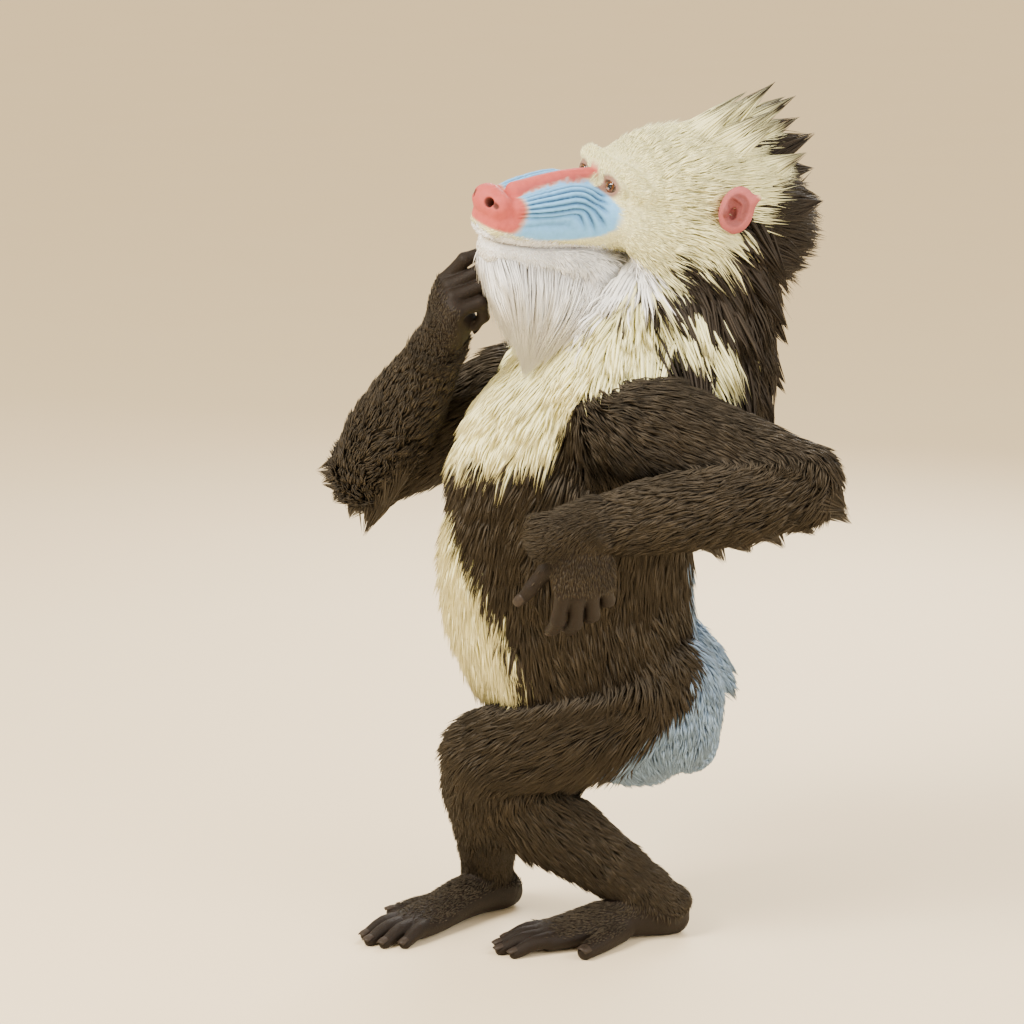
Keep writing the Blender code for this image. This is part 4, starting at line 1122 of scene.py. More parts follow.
def grow(name, weight, count, slot, seed, width, lengthBy=2.6, least=0.006, lift=32, end=8, gravity=0.15,
         rings=2, clump=0.5, lockSize=0.012, stray=0.10, sway=1.0):
    # Even coat over the places that weight marks
    count = int(count * tuftPlan["share"])
    at = rooted(count, weight, seed)
    pick = np.random.default_rng(seed + 100)
    length = np.clip(at["coat"] * lengthBy, least, 0.2) * pick.uniform(0.78, 1.15, count)
    swirl = ripple(at["root"], lockSize * 3.2, seed + 7) * 0.16
    swirl = swirl + ripple(at["root"], lockSize * 1.2, seed + 8) * 0.12
    swirl = swirl * sway + pick.normal(0, stray, (count, 3))
    lie = tangents(at["lie"] + swirl, at["normal"])
    raised = column(np.radians(lift * pick.uniform(0.6, 1.25, count)))
    ending = column(np.radians(end * pick.uniform(0.3, 1.6, count)))
    first = lie * np.cos(raised) + at["normal"] * np.sin(raised)
    last = lie * np.cos(ending) + at["normal"] * np.sin(ending)
    last = units(last + np.array((0, 0, -1)) * gravity)
    first, last = first * column(length), last * column(length)
    # Neighbours lean together into locks
    spacing = max(1, int(round(count * lockSize * lockSize / (areas * weight[skinFaces].mean(axis=1)).sum())))
    centres = np.arange(0, count, spacing)
    centres = centres[pick.permutation(len(centres))]
    finder = kdtree.KDTree(len(centres))
    for number, centre in enumerate(centres):
        finder.insert(at["root"][centre], number)
    finder.balance()
    nearest = centres[[finder.find(point)[1] for point in at["root"]]]
    ends = at["root"] + (first + last) / 2
    pull = ends[nearest] - ends
    limit = np.minimum(1, 0.5 * length / np.maximum(np.linalg.norm(pull, axis=1), 1e-6))
    bend = pull * column(clump * pick.uniform(0.5, 1.1, count) * limit)
    marks = chooseMarks(at["marks"], seed + 200)
    tone = 0.5 + ripple(at["root"], lockSize * 2.5, seed + 9)[:, 1] * 0.22 + pick.normal(0, 0.17, count)
    dark = (at["marks"][:, 0] < 0.8) * marks[:, 0] * pick.uniform(0, 1, count)
    tufts = {
        "root": at["root"] - at["normal"] * tuftPlan["rootDepth"], "first": first, "last": last, "bend": bend,
        "out": at["normal"], "width": width * tuftPlan["broader"] * pick.uniform(0.75, 1.3, count),
        "marks": marks, "maps": at["maps"], "tone": np.clip(tone, 0, 1), "dark": dark,
    }
    coatPiece(name, [tufts], seed + 300, rings)


coatPlan = {   # lengthBy: times the depth of the coat; lift and end: degrees off the skin at root and tip
    "fur_front": {"count": 14600, "slot": "coat_brown", "seed": 11, "width": 0.0032, "lift": 30, "end": 6},
    "fur_back": {"count": 12600, "slot": "coat_brown", "seed": 12, "width": 0.0032, "lift": 30, "end": 6},
    "fur_arm_left": {"count": 9800, "slot": "coat_brown", "seed": 14, "width": 0.0026, "lift": 28, "end": 5},
    "fur_arm_right": {"count": 9800, "slot": "coat_brown", "seed": 12, "width": 0.0026, "lift": 28, "end": 5},
    "fur_legs": {"count": 16000, "slot": "coat_brown", "seed": 17, "width": 0.0026, "lift": 34,
                 "lengthBy": 3.4, "least": 0.013},
    "fur_mane": {"count": 9000, "slot": "coat_brown", "seed": 19, "width": 0.0038, "lift": 34, "end": 4,
                 "lengthBy": 2.7, "rings": 3, "gravity": 0.35, "clump": 0.6, "lockSize": 0.022},
    "fur_bib": {"count": 4600, "slot": "coat_cream", "seed": 20, "width": 0.0034, "lift": 28, "end": 4,
                "lengthBy": 2.5, "rings": 3, "gravity": 0.30, "clump": 0.6, "lockSize": 0.020},
    "fur_crown": {"count": 11500, "slot": "coat_cream", "seed": 21, "width": 0.0017, "lift": 36, "end": 14,
                  "lengthBy": 2.9, "gravity": 0.03, "lockSize": 0.010},
    "fur_face": {"count": 14500, "slot": "coat_cream", "seed": 22, "width": 0.0011, "lift": 34, "end": 14,
                 "lengthBy": 2.3, "least": 0.0058, "gravity": 0.03, "clump": 0.65, "lockSize": 0.007},
    "fur_hands": {"count": 15000, "slot": "bare_dark", "seed": 23, "width": 0.0015, "end": 14,
                  "lengthBy": 3.6, "least": 0.0080, "gravity": 0.05, "clump": 0.3, "lockSize": 0.010,
                  "sway": 0.35, "stray": 0.06},
}
covered = 1 - bare
trunkShare = tagged("trunk", "rump", "tail") * (partOf == 0) * covered
armShare = tagged("arm") * covered
growsOn = {
    "fur_front": trunkShare * (skinPoints[:, 1] < 0.02),
    "fur_back": trunkShare * (skinPoints[:, 1] >= 0.02),
    "fur_arm_left": armShare * (skinPoints[:, 0] > 0),
    "fur_arm_right": armShare * (skinPoints[:, 0] <= 0),
    "fur_legs": tagged("leg") * covered,
    "fur_mane": tagged("neck") * covered,
    "fur_bib": tagged("bib") * covered,
    "fur_crown": tagged("crown", "cheek") * covered * (coatOf > 0.006),
    "fur_face": tagged(*[tag for tag in headTags if tag != "ear"]) * covered * (coatOf <= 0.0075),
    "fur_hands": extremity * covered**1.5,
}
for name, look in coatPlan.items():
    grow(name, growsOn[name], **look)

# Longer locks that leave the general coat: crest, mane tips, beard, elbows and tail

finder = BVHTree.FromPolygons(skinPoints.tolist(), skinFaces.tolist())


def nearSkin(points):
    # The nearest places of the skin with the values there
    found = [finder.find_nearest(Vector(point)) for point in points]
    root = np.array([hit[0] for hit in found])
    chosen = np.array([hit[2] for hit in found])
    at = skinFaces[chosen]
    a, b, c = (skinPoints[at[:, k]] for k in range(3))
    facing = np.cross(b - a, c - a)
    size = np.maximum(np.einsum("ij,ij->i", facing, facing), 1e-18)
    v = np.einsum("ij,ij->i", np.cross(root - a, c - a), facing) / size
    w = np.einsum("ij,ij->i", np.cross(b - a, root - a), facing) / size
    blend = np.clip(np.stack([1 - v - w, v, w], axis=1), 0, 1)
    return {
        "root": root, "normal": units(np.einsum("ij,ijk->ik", blend, skinNormals[at])),
        "marks": np.einsum("ij,ijk->ik", blend, marksOf[at]),
        "maps": np.einsum("ij,ijk->ik", blend, skinMaps[chosen]),
    }


def bowed(at, ends, bow, pick, marks, width, uneven=0.2, dark=0.0):
    # Tufts that rise from their roots by the bow and sink again to their ends
    count = len(ends)
    chord = ends - at["root"]
    return {
        "root": at["root"] - at["normal"] * tuftPlan["rootDepth"], "first": chord + bow, "last": chord - bow,
        "bend": np.zeros((count, 3)), "out": at["normal"], "marks": marks, "maps": at["maps"],
        "width": width * tuftPlan["broader"] * pick.uniform(0.7, 1.3, count),
        "tone": np.clip(pick.normal(0.5, uneven, count), 0, 1),
        "dark": np.clip(dark * pick.uniform(0.5, 1.1, count), 0, 1),
    }


def lock(start, tip, patch, count, seed, marks=None, width=0.0028, least=0.35, bow=0.16, drift=0.10, dark=0):
    # Tufts from a patch of skin that run together towards one tip; patch is the spread of the roots
    count = max(12, int(count * tuftPlan["share"]))
    pick = np.random.default_rng(seed)
    offsets = pick.normal(0, 1, (count, 3)).clip(-1.8, 1.8) * patch
    at = nearSkin(np.asarray(start) + offsets)
    share = column(pick.uniform(least, 1, count) ** 0.8)
    ends = at["root"] + (np.asarray(tip) + offsets * drift - at["root"]) * share
    length = column(np.linalg.norm(ends - at["root"], axis=1))
    bow = at["normal"] * length * bow * column(pick.uniform(0.4, 1.4, count))
    bow = bow + pick.normal(0, 0.04, (count, 3)) * length
    own = chooseMarks(at["marks"], seed + 1) if marks is None else np.tile(marks, (count, 1))
    return bowed(at, ends, bow, pick, own, width, dark=dark)


def headPoint(point, side=1):
    return placed(headFrame, np.multiply(point, (side, 1, 1)))[0]


cream, white, grey, dark = np.eye(4)   # the marks of one colour
brown = np.zeros(4)

# Crest: cream locks with dark tips, dark ones behind them and a ruff behind the cheeks
crestPlan = {
    "locks": [  # root, tip, how dark the tip is, or 0 for a dark lock
        ((0, 0.028, 0.078), (0, 0.094, 0.154), 1.0),
        ((0.012, 0.000, 0.080), (0.010, 0.058, 0.136), 0.7),
        ((-0.014, 0.045, 0.078), (-0.012, 0.122, 0.138), 1.0),
        ((0.016, 0.072, 0.066), (0.020, 0.150, 0.112), 0),
        ((0.010, 0.040, 0.078), (0.012, 0.116, 0.146), 1.2),
        ((0.002, 0.060, 0.072), (0.002, 0.138, 0.122), 1.4),
        ((-0.018, 0.014, 0.078), (-0.020, 0.080, 0.136), 0.9),
        ((0.020, 0.020, 0.074), (0.022, 0.086, 0.130), 0.9),
        ((-0.006, 0.082, 0.062), (-0.004, 0.160, 0.098), 0),
        ((0.006, 0.094, 0.048), (0.008, 0.172, 0.072), 0),
        ((-0.022, 0.078, 0.055), (-0.024, 0.165, 0.084), 0),
        ((0.025, 0.100, 0.028), (0.030, 0.174, 0.048), 0),
        ((-0.020, 0.105, 0.010), (-0.020, 0.180, 0.012), 0),
        ((0.030, 0.030, 0.070), (0.030, 0.092, 0.122), 0.8),
        ((0.040, 0.060, 0.058), (0.042, 0.128, 0.096), 0.9),
        ((-0.034, 0.050, 0.062), (-0.036, 0.120, 0.100), 0.8),
        ((0.050, 0.092, 0.030), (0.058, 0.156, 0.052), 0),
        ((-0.046, 0.092, 0.030), (-0.056, 0.156, 0.052), 0),
        ((0.054, 0.100, 0.002), (0.064, 0.160, 0.006), 0),
        ((-0.050, 0.100, 0.002), (-0.060, 0.160, 0.006), 0),
        ((0.030, 0.110, -0.020), (0.036, 0.176, -0.032), 0),
        ((-0.024, 0.110, -0.022), (-0.030, 0.174, -0.036), 0),
    ],
    "ruff": [
        ((0.066, 0.010, -0.055), (0.092, 0.075, -0.105)), ((0.066, 0.030, -0.030), (0.092, 0.122, -0.058)),
        ((0.068, 0.060, 0.000), (0.088, 0.140, -0.010)),
    ],
}
groups = []
for number, (start, tip, darkTip) in enumerate(crestPlan["locks"]):
    marks, patch = (cream, 0.0075) if darkTip else (dark, 0.012)
    groups.append(lock(headPoint(start), headPoint(tip), patch, 150, 400 + number, marks=marks, dark=darkTip,
                       width=0.0024, bow=0.07, least=0.4, drift=0.03))
for side, word in sides:
    for start, tip in crestPlan["ruff"]:
        groups.append(lock(headPoint(start, side), headPoint(tip, side), 0.014, 170,
                           430 + side * 5 + len(groups), marks=dark, width=0.0026))
coatPiece("fur_crest", groups, 31, 3)

# Mane: long tips over the shoulders and short spikes down the nape
manePlan = {
    "tips": [(0.160, -0.010, 0.580), (0.168, 0.052, 0.566), (0.136, 0.120, 0.560), (0.076, 0.168, 0.548)],
    "middleTip": (0.0, 0.186, 0.536),
    "spikes": 26, "spikeTop": 0.800, "spikeStep": 0.0068,
}
groups = []
tips = [np.multiply(tip, (side, 1, 1)) for side, word in sides for tip in manePlan["tips"]]
for tip in [*tips, manePlan["middleTip"]]:
    start = np.array((0.62 * tip[0], 0.06 + 0.60 * (tip[1] - 0.06), 0.655))
    groups.append(lock(start, tip, (0.020, 0.020, 0.022), 260, 450 + len(groups), width=0.0038, bow=0.20,
                       marks=None if tip[1] < 0 else dark))
for number in range(manePlan["spikes"]):
    height = manePlan["spikeTop"] - manePlan["spikeStep"] * number
    turn = math.radians((50 if height > 0.72 else 75) * (2 * ((number * 0.618) % 1) - 1))
    start = np.array((math.sin(turn) * 0.095, 0.078 + math.cos(turn) * 0.085, height))
    tip = start + np.array((math.sin(turn) * 0.040, math.cos(turn) * 0.040, -0.060))
    groups.append(lock(start, tip, 0.012, 90, 520 + number, width=0.0034, bow=0.10, least=0.4, marks=dark,
                       drift=0.03))
coatPiece("fur_mane_tips", groups, 32, 3)

# Beard: narrows from the whole length of the jaw to a point below it, with whiskers behind the mouth
beardPlan = {
    "count": 6400, "width": 0.0016, "tip": (0.050, -0.106, 0.622),
    "shares": [0, 0.25, 0.55, 0.80, 1],    # of the way down, with half the depth and half the width there
    "halfDepths": [0.082, 0.070, 0.044, 0.020, 0.003],
    "halfWidths": [0.040, 0.039, 0.029, 0.014, 0.002],
    "whiskers": [
        ((0.043, -0.066, -0.060), (0.056, -0.030, -0.120)), ((0.050, -0.050, -0.054), (0.066, 0.004, -0.108)),
        ((0.054, -0.036, -0.044), (0.074, 0.024, -0.086)), ((0.040, -0.090, -0.064), (0.048, -0.068, -0.130)),
    ],
}
count = int(beardPlan["count"] * tuftPlan["share"])
pick = np.random.default_rng(77)
foreAft = pick.uniform(-1, 1, count)
aside = pick.normal(0, 0.50, count).clip(-1, 1)
starts = np.stack([aside * (0.036 - 0.008 * np.abs(foreAft)), -0.115 + foreAft * 0.084,
                   -0.080 + 0.016 * aside**2 + 0.018 * (1 - foreAft**2) * pick.uniform(0, 1, count)], axis=1)
at = nearSkin(placed(headFrame, starts))
share = pick.uniform(0.18, 1, count) ** 0.75 * (1 - 0.30 * np.abs(foreAft) ** 1.5)
halfDepth = np.interp(share, beardPlan["shares"], beardPlan["halfDepths"])
halfWidth = np.interp(share, beardPlan["shares"], beardPlan["halfWidths"])
axis = headPoint((0, -0.112, -0.066))
ends = axis + (np.array(beardPlan["tip"]) - axis) * column(share)
ends = ends + turned(headFrame, (0, 1, 0)) * column(foreAft * halfDepth)
ends += turned(headFrame, (1, 0, 0)) * column(aside * halfWidth)
ends += ripple(at["root"], 0.014, 78) * column(0.0065 * np.sqrt(share) * (1.1 - share))
length = column(np.linalg.norm(ends - at["root"], axis=1))
bow = at["normal"] * length * 0.14 + pick.normal(0, 0.05, (count, 3)) * length
bow += ripple(at["root"], 0.020, 79) * length * 0.10
groups = [bowed(at, ends, bow, pick, np.tile(white, (count, 1)), beardPlan["width"], uneven=0.12)]
for side, word in sides:
    for start, tip in beardPlan["whiskers"]:
        groups.append(lock(headPoint(start, side), headPoint(tip, side), (0.010, 0.013, 0.0050), 200,
                           600 + len(groups), marks=white, width=0.0015, bow=0.14, least=0.25, drift=0.9))
coatPiece("fur_beard", groups, 33, 2)

# Elbows: three rows of short hanging spikes, and a few over the point of the right one
elbowPlan = {
    "spikes": 14, "length": {1: 0.076, -1: 0.084},
    "overRight": [(-0.30, 0.15), (0.05, 0.25), (0.35, 0.05), (-0.05, -0.20)],   # sideways, up
}
groups = []
for side, word in sides:
    away, back = unit(elbow[side] - shoulder[side]), unit(elbow[side] - wrist[side])
    sideways = unit(np.cross(away, back))
    for number in range(elbowPlan["spikes"]):
        along, row = 0.009 * number - 0.004, number % 3 - 1
        aim = unit(away * 0.4 + back * 0.5 + np.array((0, 0, -0.4 - 0.1 * number)) + sideways * 0.3 * row)
        start = elbow[side] - back * along - away * 0.01 + sideways * 0.014 * row
        tip = start + aim * (elbowPlan["length"][side] - 0.05 * along - 0.005 * (number % 2))
        groups.append(lock(start + aim * 0.02, tip, 0.0085, 90, 470 + len(groups), marks=brown, width=0.0030,
                           bow=0.10))
away = unit(elbow[-1] - shoulder[-1])
sideways = unit(np.cross(away, elbow[-1] - wrist[-1]))
for number, (out, rise) in enumerate(elbowPlan["overRight"]):
    aim = unit(away + (0, -0.2, rise) + sideways * out)
    start = elbow[-1] + sideways * 0.016 * out + aim * 0.01
    groups.append(lock(start, start + aim * (0.050 - 0.004 * number), 0.0095, 80, 500 + number, marks=brown,
                       width=0.0030, bow=0.10))
coatPiece("fur_elbows", groups, 34, 2)

tailPlan = {
    "locks": [   # start, tip, spread of the roots, tufts
        ((0, 0.118, 0.318), (0, 0.158, 0.246), (0.012, 0.014, 0.016), 290),
        ((0, 0.110, 0.335), (0, 0.160, 0.275), (0.014, 0.012, 0.016), 200),
    ],
    "width": 0.0029,
}
groups = [lock(*row, 500 + number, marks=grey, width=tailPlan["width"])
          for number, row in enumerate(tailPlan["locks"])]
coatPiece("fur_tail", groups, 35, 3)
say(f"coat grown, {hairCount} triangles")

# Materials

def colour(code):
    # sRGB hex to linear
    shares = [int(code[i:i + 2], 16) / 255 for i in (1, 3, 5)]
    return (*[s / 12.92 if s <= 0.04045 else ((s + 0.055) / 1.055) ** 2.4 for s in shares], 1)


def perMetre(millimetres):
    # Scale of a pattern whose features lie so far apart
    return 1000 / millimetres


def addNode(tree, kind, links, **settings):
    # Adds a node; links give its sockets, by name or number, a value or the node or socket they read
    made = tree.nodes.new("ShaderNode" + kind)
    for key, value in settings.items():
        setattr(made, key, value)
    for key, value in links.items():
        if isinstance(value, bpy.types.Node):
            value = next(socket for socket in value.outputs if socket.enabled)
        if isinstance(value, bpy.types.NodeSocket):
            tree.links.new(value, made.inputs[key])
        else:
            made.inputs[key].default_value = value
    return made


def newMaterial(name):
    # A material without nodes, and addNode for its tree
    made = bpy.data.materials.new(name)
    made.use_nodes = True
    made.node_tree.nodes.clear()
    return made, partial(addNode, made.node_tree)


def channels(put, name):
    # Four numbers kept at the points of a mesh
    read = put("Attribute", {}, attribute_name=name)
    split = put("SeparateColor", {0: read.outputs["Color"]})
    return [*split.outputs, read.outputs["Alpha"]]


mixColours = {"data_type": "RGBA"}
timesColours = {"data_type": "RGBA", "blend_type": "MULTIPLY"}
easing = {"interpolation_type": "SMOOTHSTEP"}
coatLook = {
    "brown": "#373026", "dark": "#29221B", "cream": "#F9F5C0", "white": "#FFFFFF", "grey": "#7E96B2",
    "darkTip": "#2E251C",
    # rootShade: painted shade, how dark each tuft is at its root
    "rootShade": 0.55,
    "paleShade": 0.54,    # how much of the painted root shade pale hair keeps
    "tones": (0.62, 1.42),   # from the darkest to the lightest tuft
    "rootReach": 0.55,    # of the length of a tuft that the painted root shade darkens
    "tipReach": (0.42, 0.80),   # where a dark tip begins and is fully dark
    "ior": 1.55,
    "roughness": 0.62,
    "specular": 0.22,
}


def coatColours(put, marks):
    base = colour(coatLook["brown"])
    for share, name in ((marks[3], "dark"), (marks[0], "cream"), (marks[1], "white"), (marks[2], "grey")):
        base = put("Mix", {0: share, 6: base, 7: colour(coatLook[name])}, **mixColours)
    return base


# Coat: matt hair with painted shade that darkens it towards the roots, and of slightly different tone from
# tuft to tuft
furCoat, put = newMaterial("Mandrill fur")
marks, (along, across, tone, darkTip) = channels(put, "marks"), channels(put, "hair")
tone = put("MapRange", {"Value": tone, "To Min": coatLook["tones"][0], "To Max": coatLook["tones"][1]})
# Painted shade: each tuft darkens from its tip towards its root, inside the coat
depth = put("MapRange", {
    "Value": along, "From Max": coatLook["rootReach"], "To Min": coatLook["rootShade"]}, **easing)
shade = put("Math", {0: tone, 1: depth}, operation="MULTIPLY")
pale = put("Math", {0: marks[0], 1: marks[1]}, operation="ADD")
offWhite = put("Math", {0: shade, 1: 1.0}, operation="SUBTRACT")
paleShade = put("Math", {0: offWhite, 1: coatLook["paleShade"], 2: 1.0}, operation="MULTIPLY_ADD")
shade = put("Mix", {0: pale, 2: shade, 3: paleShade})
base = put("Mix", {0: 1.0, 6: coatColours(put, marks), 7: shade}, **timesColours)
tipStart, tipEnd = coatLook["tipReach"]
tip = put("MapRange", {"Value": along, "From Min": tipStart, "From Max": tipEnd}, **easing)
tip = put("Math", {0: tip, 1: darkTip}, operation="MULTIPLY")
base = put("Mix", {0: tip, 6: base, 7: colour(coatLook["darkTip"])}, **mixColours)
put("OutputMaterial", {0: put("BsdfPrincipled", {
    "Base Color": base, "Roughness": coatLook["roughness"], "IOR": coatLook["ior"],
    "Specular IOR Level": coatLook["specular"]})})
for coat in coats:
    coat.data.materials.append(furCoat)

# Skin: bare hide, blue and finely grooved beside a red nose, brown on hands and feet, with painted shade
# under the coat and in the furrows and hollows
skinLook = {
    # Two of these colours are painted shade: the dark blue for the furrows of the blue swellings, the dark
    # brown for nostrils, ear bowls and lip line
    "blue": "#76B8F0", "grooveShade": "#1A304A", "pink": "#BA5450", "ear": "#A4585A", "hand": "#1B140F",
    "lid": "#8E6F60", "recessShade": "#2A1D18",
    "mottle": 6.3,     # mm
    "creases": 2.4,    # mm, coarser than in life, so that they show
    "pores": 1.1,      # mm, coarser than in life
    "bump": 0.0009,
    "underCoat": ((0.05, 0.74), (0.4, 0.45)),   # depth of the coat and the painted shade of the skin under it
    "mottling": (0.78, 1.2),
    "ior": 1.40,
    "roughness": 0.58,
    "specular": 0.26,
    "subsurface": 0.06,
}
hide, put = newMaterial("Mandrill skin")
marks, (blueShare, pinkShare, recessShadeShare, _) = channels(put, "marks"), channels(put, "flesh")
extremityShare, earShare, lidShare, coatShare = channels(put, "zone")
spot = put("TexCoord", {}).outputs["Object"]
(thinDepth, thinShade), (deepDepth, deepShade) = skinLook["underCoat"]
# Painted shade: the skin is darker the thicker the coat over it
thin = put("MapRange", {
    "Value": coatShare, "From Min": thinDepth, "From Max": deepDepth,
    "To Min": thinShade, "To Max": deepShade})
base = put("Mix", {0: 1.0, 6: coatColours(put, marks), 7: thin}, **timesColours)
rosy = put("Mix", {0: earShare, 6: colour(skinLook["pink"]), 7: colour(skinLook["ear"])}, **mixColours)
recessShadeTint = put("Mix", {0: blueShare, 6: colour(skinLook["recessShade"]), 7: colour(skinLook["grooveShade"])}, **mixColours)
# Painted shade in the furrows, nostrils, ear bowls and along the lip line
recessShadeAmount = put("Math", {0: recessShadeShare, 1: 0.85}, operation="MULTIPLY")
for share, tint in ((extremityShare, colour(skinLook["hand"])), (lidShare, colour(skinLook["lid"])),
                    (blueShare, colour(skinLook["blue"])), (pinkShare, rosy), (recessShadeAmount, recessShadeTint)):
    base = put("Mix", {0: share, 6: base, 7: tint}, **mixColours)
mottle = put("TexNoise", {"Vector": spot, "Scale": perMetre(skinLook["mottle"]), "Detail": 4.0})
darkMottle, paleMottle = skinLook["mottling"]
mottle = put("MapRange", {"Value": mottle, "To Min": darkMottle, "To Max": paleMottle})
base = put("Mix", {0: 1.0, 6: base, 7: mottle}, **timesColours)
pores = put("TexNoise", {"Vector": spot, "Scale": perMetre(skinLook["pores"]), "Detail": 3.0})
folds = put("TexVoronoi", {"Vector": spot, "Scale": perMetre(skinLook["creases"])},
            feature="DISTANCE_TO_EDGE")
relief = put("Math", {0: folds, 1: 0.8, 2: pores}, operation="MULTIPLY_ADD")
bump = put("Bump", {"Height": relief, "Strength": 0.5, "Distance": skinLook["bump"]})
put("OutputMaterial", {0: put("BsdfPrincipled", {
    "Base Color": base, "Roughness": skinLook["roughness"], "IOR": skinLook["ior"],
    "Specular IOR Level": skinLook["specular"], "Subsurface Weight": skinLook["subsurface"],
    "Subsurface Scale": 0.004, "Normal": bump})})
skinData.materials.append(hide)
skinData.transform(Matrix.Translation(shift))
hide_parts(*[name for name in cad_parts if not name.startswith("eye")])

# Eyes

eyeLook = {
    "radius": 0.01134,
    "corneaShare": 0.62,   # of the eye's radius
    "corneaRise": 0.0030,
    "corneaThickness": 0.0005,
    "lookingOut": 10,      # degrees
    "rings": (   # pupil, amber iris, its dark edge and the brownish ball
        (0.0, "#050403"), (0.235, "#050403"), (0.255, "#9A5A22"), (0.44, "#7C4416"), (0.52, "#1E120B"),
        (0.58, "#5B4A40"), (1.0, "#7A6A5C"),
    ),
    "ray": "#1A0E06",
    "rays": 0.7,           # mm
    "ior": 1.376,
}


def turnedSurface(name, profile, place, turns=40):
    # profile: (distance forwards, radius), closed at both ends on the axis
    rings = np.array(profile, float)
    angles = np.arange(turns) * 2 * math.pi / turns
    points = np.concatenate([np.stack([r * np.cos(angles), np.full(turns, -f), r * np.sin(angles)], axis=1)
                             for f, r in rings])
    faces = []
    for ring in range(len(rings) - 1):
        for turn in range(turns):
            a, b = ring * turns + turn, ring * turns + (turn + 1) % turns
            faces.append((a, b, b + turns, a + turns))
    data = meshOf(name, placed(place, points) + shift, np.array(faces))
    merged = bmesh.new()
    merged.from_mesh(data)
    bmesh.ops.remove_doubles(merged, verts=merged.verts, dist=1e-5)
    bmesh.ops.recalc_face_normals(merged, faces=merged.faces)
    merged.to_mesh(data)
    merged.free()
    data.shade_smooth()
    return thing(name, data)


# Eye: amber iris in a brownish ball, with fine rays
ball, put = newMaterial("Amber eye")
ramping = put("ValToRGB", {0: put("Attribute", {}, attribute_name="ring").outputs["Fac"]})
stops = ramping.color_ramp.elements
stops[0].color = colour(eyeLook["rings"][0][1])
stops[1].color = colour(eyeLook["rings"][-1][1])
for position, code in eyeLook["rings"][1:-1]:
    stops.new(position).color = colour(code)
spot = put("TexCoord", {}).outputs["Object"]
rays = put("TexNoise", {"Vector": spot, "Scale": perMetre(eyeLook["rays"]), "Detail": 2.0})
rayed = put("Mix", {0: rays, 6: colour(eyeLook["ray"]), 7: ramping}, **mixColours)
base = put("Mix", {0: 0.35, 6: ramping, 7: rayed}, **mixColours)
put("OutputMaterial", {0: put("BsdfPrincipled", {"Base Color": base, "Roughness": 0.25})})
# Cornea: clear wet dome that catches the lights
wet, put = newMaterial("Clear cornea")
put("OutputMaterial", {0: put("BsdfPrincipled", {
    "Roughness": 0.02, "IOR": eyeLook["ior"], "Transmission Weight": 1.0})})

for side, word in sides:
    gaze = headFrame @ np.array(Matrix.Translation(Vector(eyePlace * (side, 1, 1)))
                                @ Matrix.Rotation(math.radians(eyeLook["lookingOut"] * side), 4, "Z"))
    radius = eyeLook["radius"] / plan["headScale"]
    profile = [(-radius * math.cos(a), radius * math.sin(a)) for a in np.linspace(0, math.pi * 0.82, 22)]
    rimForward, rimRadius = profile[-1]
    for inwards, share in ((0.0004, 0.8), (0.0009, 0.5), (0.0011, 0)):
        profile.append((rimForward - inwards, rimRadius * share))
    eyeball = turnedSurface(f"eyeball_{word}", profile, gaze)
    local = placed(np.linalg.inv(gaze), np.array([vertex.co for vertex in eyeball.data.vertices]) - shift)
    ring = np.where(local[:, 1] < 0, np.hypot(local[:, 0], local[:, 2]) / radius, 1)
    layer = eyeball.data.attributes.new("ring", "FLOAT", "POINT")
    layer.data.foreach_set("value", ring.astype(np.float32))
    eyeball.data.materials.append(ball)
    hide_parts(f"eye_{word}")
    limbus = radius * eyeLook["corneaShare"]
    limbusForward = math.sqrt(radius**2 - limbus**2) + 0.0001
    dome = [(limbusForward + eyeLook["corneaRise"] * (1 - (1 - a) ** 2), limbus * (1 - a))
            for a in np.linspace(0, 1, 12)]
    back = limbusForward - eyeLook["corneaThickness"]
    cornea = turnedSurface(f"cornea_{word}", [(back, 0), (back, limbus), *dome], gaze)
    cornea.data.materials.append(wet)

# Nails: dull horn, lighter in patches

nailLook = {
    "thickness": 0.0010,
    "halfAngle": 56,      # degrees round the finger
    "colours": ("#1A1512", "#3A3029"),
    "patches": 2.0,       # mm
    "ior": 1.54,
    "roughness": 0.5,
    "specular": 0.20,
}
horn, put = newMaterial("Dark nail")
spot = put("TexCoord", {}).outputs["Object"]
grain = put("TexNoise", {"Vector": spot, "Scale": perMetre(nailLook["patches"])})
darkHorn, paleHorn = (colour(code) for code in nailLook["colours"])
base = put("Mix", {0: grain, 6: darkHorn, 7: paleHorn}, **mixColours)
put("OutputMaterial", {0: put("BsdfPrincipled", {
    "Base Color": base, "Roughness": nailLook["roughness"], "IOR": nailLook["ior"],
    "Specular IOR Level": nailLook["specular"]})})


def nailPlate(point, way, back, radius, across, rows=7, columns=7):
    # A curved plate, closed by a rim between its upper and its lower side
    shell, faces = [], []
    for sunk in (0, nailLook["thickness"]):
        for v in np.linspace(-1, 1, rows):
            for u in np.linspace(-1, 1, columns):
                around = math.radians(nailLook["halfAngle"]) * u
                forward = radius * (1.02 * v * (1 - 0.18 * u * u) + 0.10)
                out = radius * (1.03 - 0.14 * max(v, 0) ** 2 - 0.10 * max(-v, 0)) - sunk
                outwards = back * math.cos(around) + across * math.sin(around)
                shell.append(point + way * forward + outwards * out)
    under = rows * columns
    for row in range(rows - 1):
        for number in range(columns - 1):
            a = row * columns + number
            faces.append((a, a + 1, a + columns + 1, a + columns))
            faces.append((a + under + columns, a + under + columns + 1, a + under + 1, a + under))
    rim = [*range(columns), *[row * columns + columns - 1 for row in range(1, rows)]]
    rim += [(rows - 1) * columns + number for number in range(columns - 2, -1, -1)]
    rim += [row * columns for row in range(rows - 2, 0, -1)]
    for a, b in zip(rim, rim[1:] + rim[:1]):
        faces.append((a, a + under, b + under, b))
    return np.array(shell), np.array(faces)


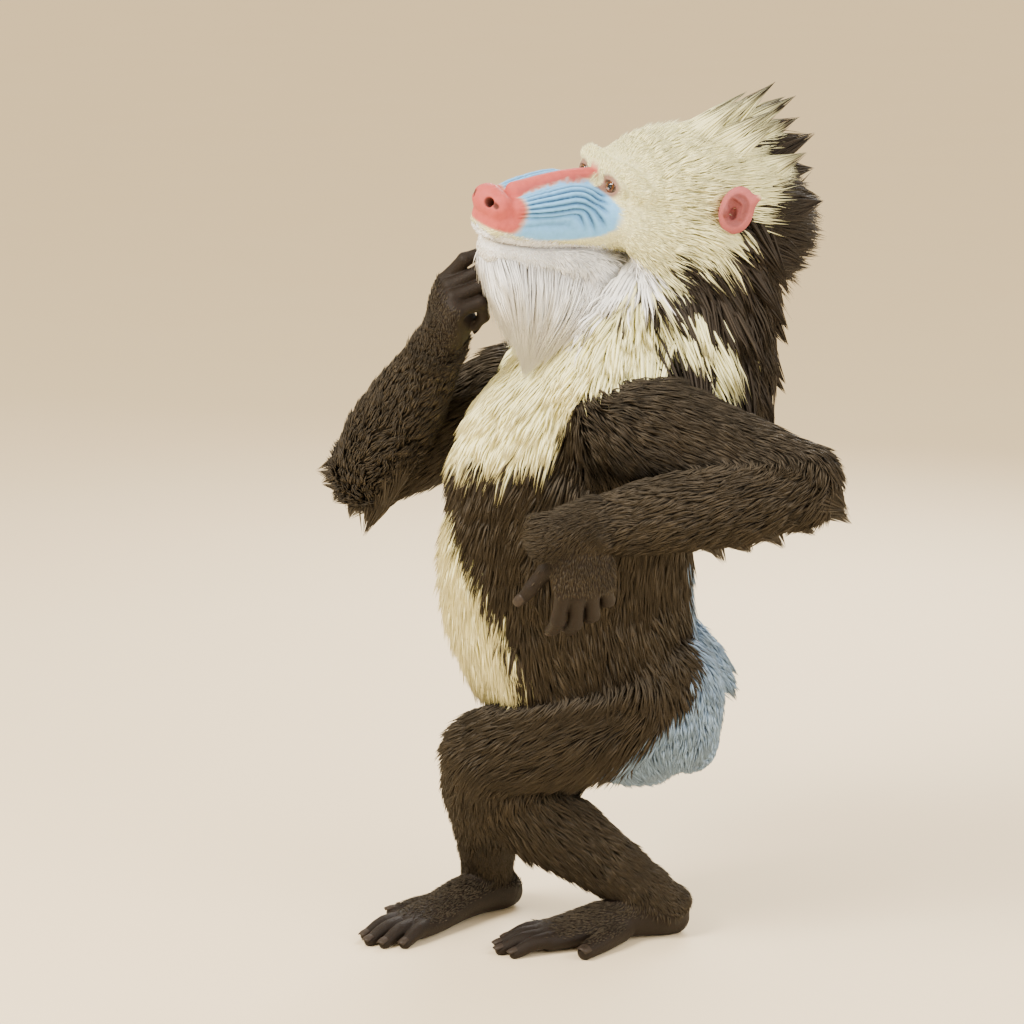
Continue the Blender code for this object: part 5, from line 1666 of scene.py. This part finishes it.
for group in [f"{limb}_{word}" for side, word in sides for limb in ("hand", "foot")]:
    plates = [nailPlate(*tip[1:]) for tip in nailTips if tip[0] == group]
    points = np.concatenate([shell for shell, faces in plates]) + shift
    points[:, 2] = np.maximum(points[:, 2], skinPlan["coatFloorGap"])
    faces = np.concatenate([faces + number * len(shell) for number, (shell, faces) in enumerate(plates)])
    nails = thing(f"nails_{group}", meshOf(f"nails_{group}", points, faces))
    nails.data.materials.append(horn)
say("eyes and nails made")

# Floor, light and camera

studio = {
    "floor": ("#EFDDBB", "#F1E0C0"),
    "floorPatches": 333,   # mm
    "floorHalf": 40,
    "sky": "#F4E2C2",
    "skyStrength": 1.55,
    "lights": {   # towards the camera, to its right, up, size, watts, colour
        "key": (1.4, -1.6, 1.7, 1.2, 168, "#FFF6E8"),
        "fill": (1.6, 1.7, 0.6, 1.8, 60, "#F4F2F0"),
        "rim": (-1.8, 0.6, 1.5, 1.4, 56, "#FFFFFF"),
    },
    "azimuth": 72,
    "elevation": 12,
    "distance": 4.0,
    "lens": 127.8,
    "target": (-0.0968, 0.4580),   # to the right and up in the picture
}
# Floor: plaster that melts into the pale sky, with hardly seen patches
plaster, put = newMaterial("Pale matt plaster")
spot = put("TexCoord", {}).outputs["Object"]
patches = put("TexNoise", {"Vector": spot, "Scale": perMetre(studio["floorPatches"])})
darkPlaster, palePlaster = (colour(code) for code in studio["floor"])
base = put("Mix", {0: patches, 6: darkPlaster, 7: palePlaster}, **mixColours)
put("OutputMaterial", {0: put("BsdfPrincipled", {"Base Color": base, "Roughness": 0.8})})
corners = np.array([(-1, -1, 0), (1, -1, 0), (1, 1, 0), (-1, 1, 0)]) * studio["floorHalf"]
floor = thing("floor", meshOf("floor", corners, np.array([(0, 1, 2, 3)])))
floor.data.materials.append(plaster)
floor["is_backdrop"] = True

world = bpy.data.worlds.new("Studio")
bpy.context.scene.world = world
world.use_nodes = True
sky = world.node_tree.nodes["Background"]
sky.inputs["Color"].default_value = colour(studio["sky"])
sky.inputs["Strength"].default_value = studio["skyStrength"]

azimuth, elevation = math.radians(studio["azimuth"]), math.radians(studio["elevation"])
level = math.cos(elevation)
back = Vector((math.sin(azimuth) * level, -math.cos(azimuth) * level, math.sin(elevation)))
right = Vector((math.cos(azimuth), math.sin(azimuth), 0))
target = right * studio["target"][0] + back.cross(right) * studio["target"][1] + Vector(shift)
for name, (near, aside, rise, size, watts, tint) in studio["lights"].items():
    light = thing(name, bpy.data.lights.new(name, "AREA"))
    light.data.energy = watts
    light.data.size = size
    light.data.color = colour(tint)[:3]
    away = back * near + right * aside + Vector((0, 0, rise))
    light.location = target + away
    light.rotation_euler = away.to_track_quat("Z", "Y").to_euler()
    light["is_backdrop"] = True

camera = thing("camera", bpy.data.cameras.new("camera"))
camera.data.lens = studio["lens"]
camera.data.sensor_width = 36
camera.location = target + back * studio["distance"]
camera.rotation_euler = back.to_track_quat("Z", "Y").to_euler()
bpy.context.scene.camera = camera

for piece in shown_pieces():
    if piece.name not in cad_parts:
        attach(piece, "root")
visualBox = [list(corner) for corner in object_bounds()]
say(f"done, box {visualBox}")
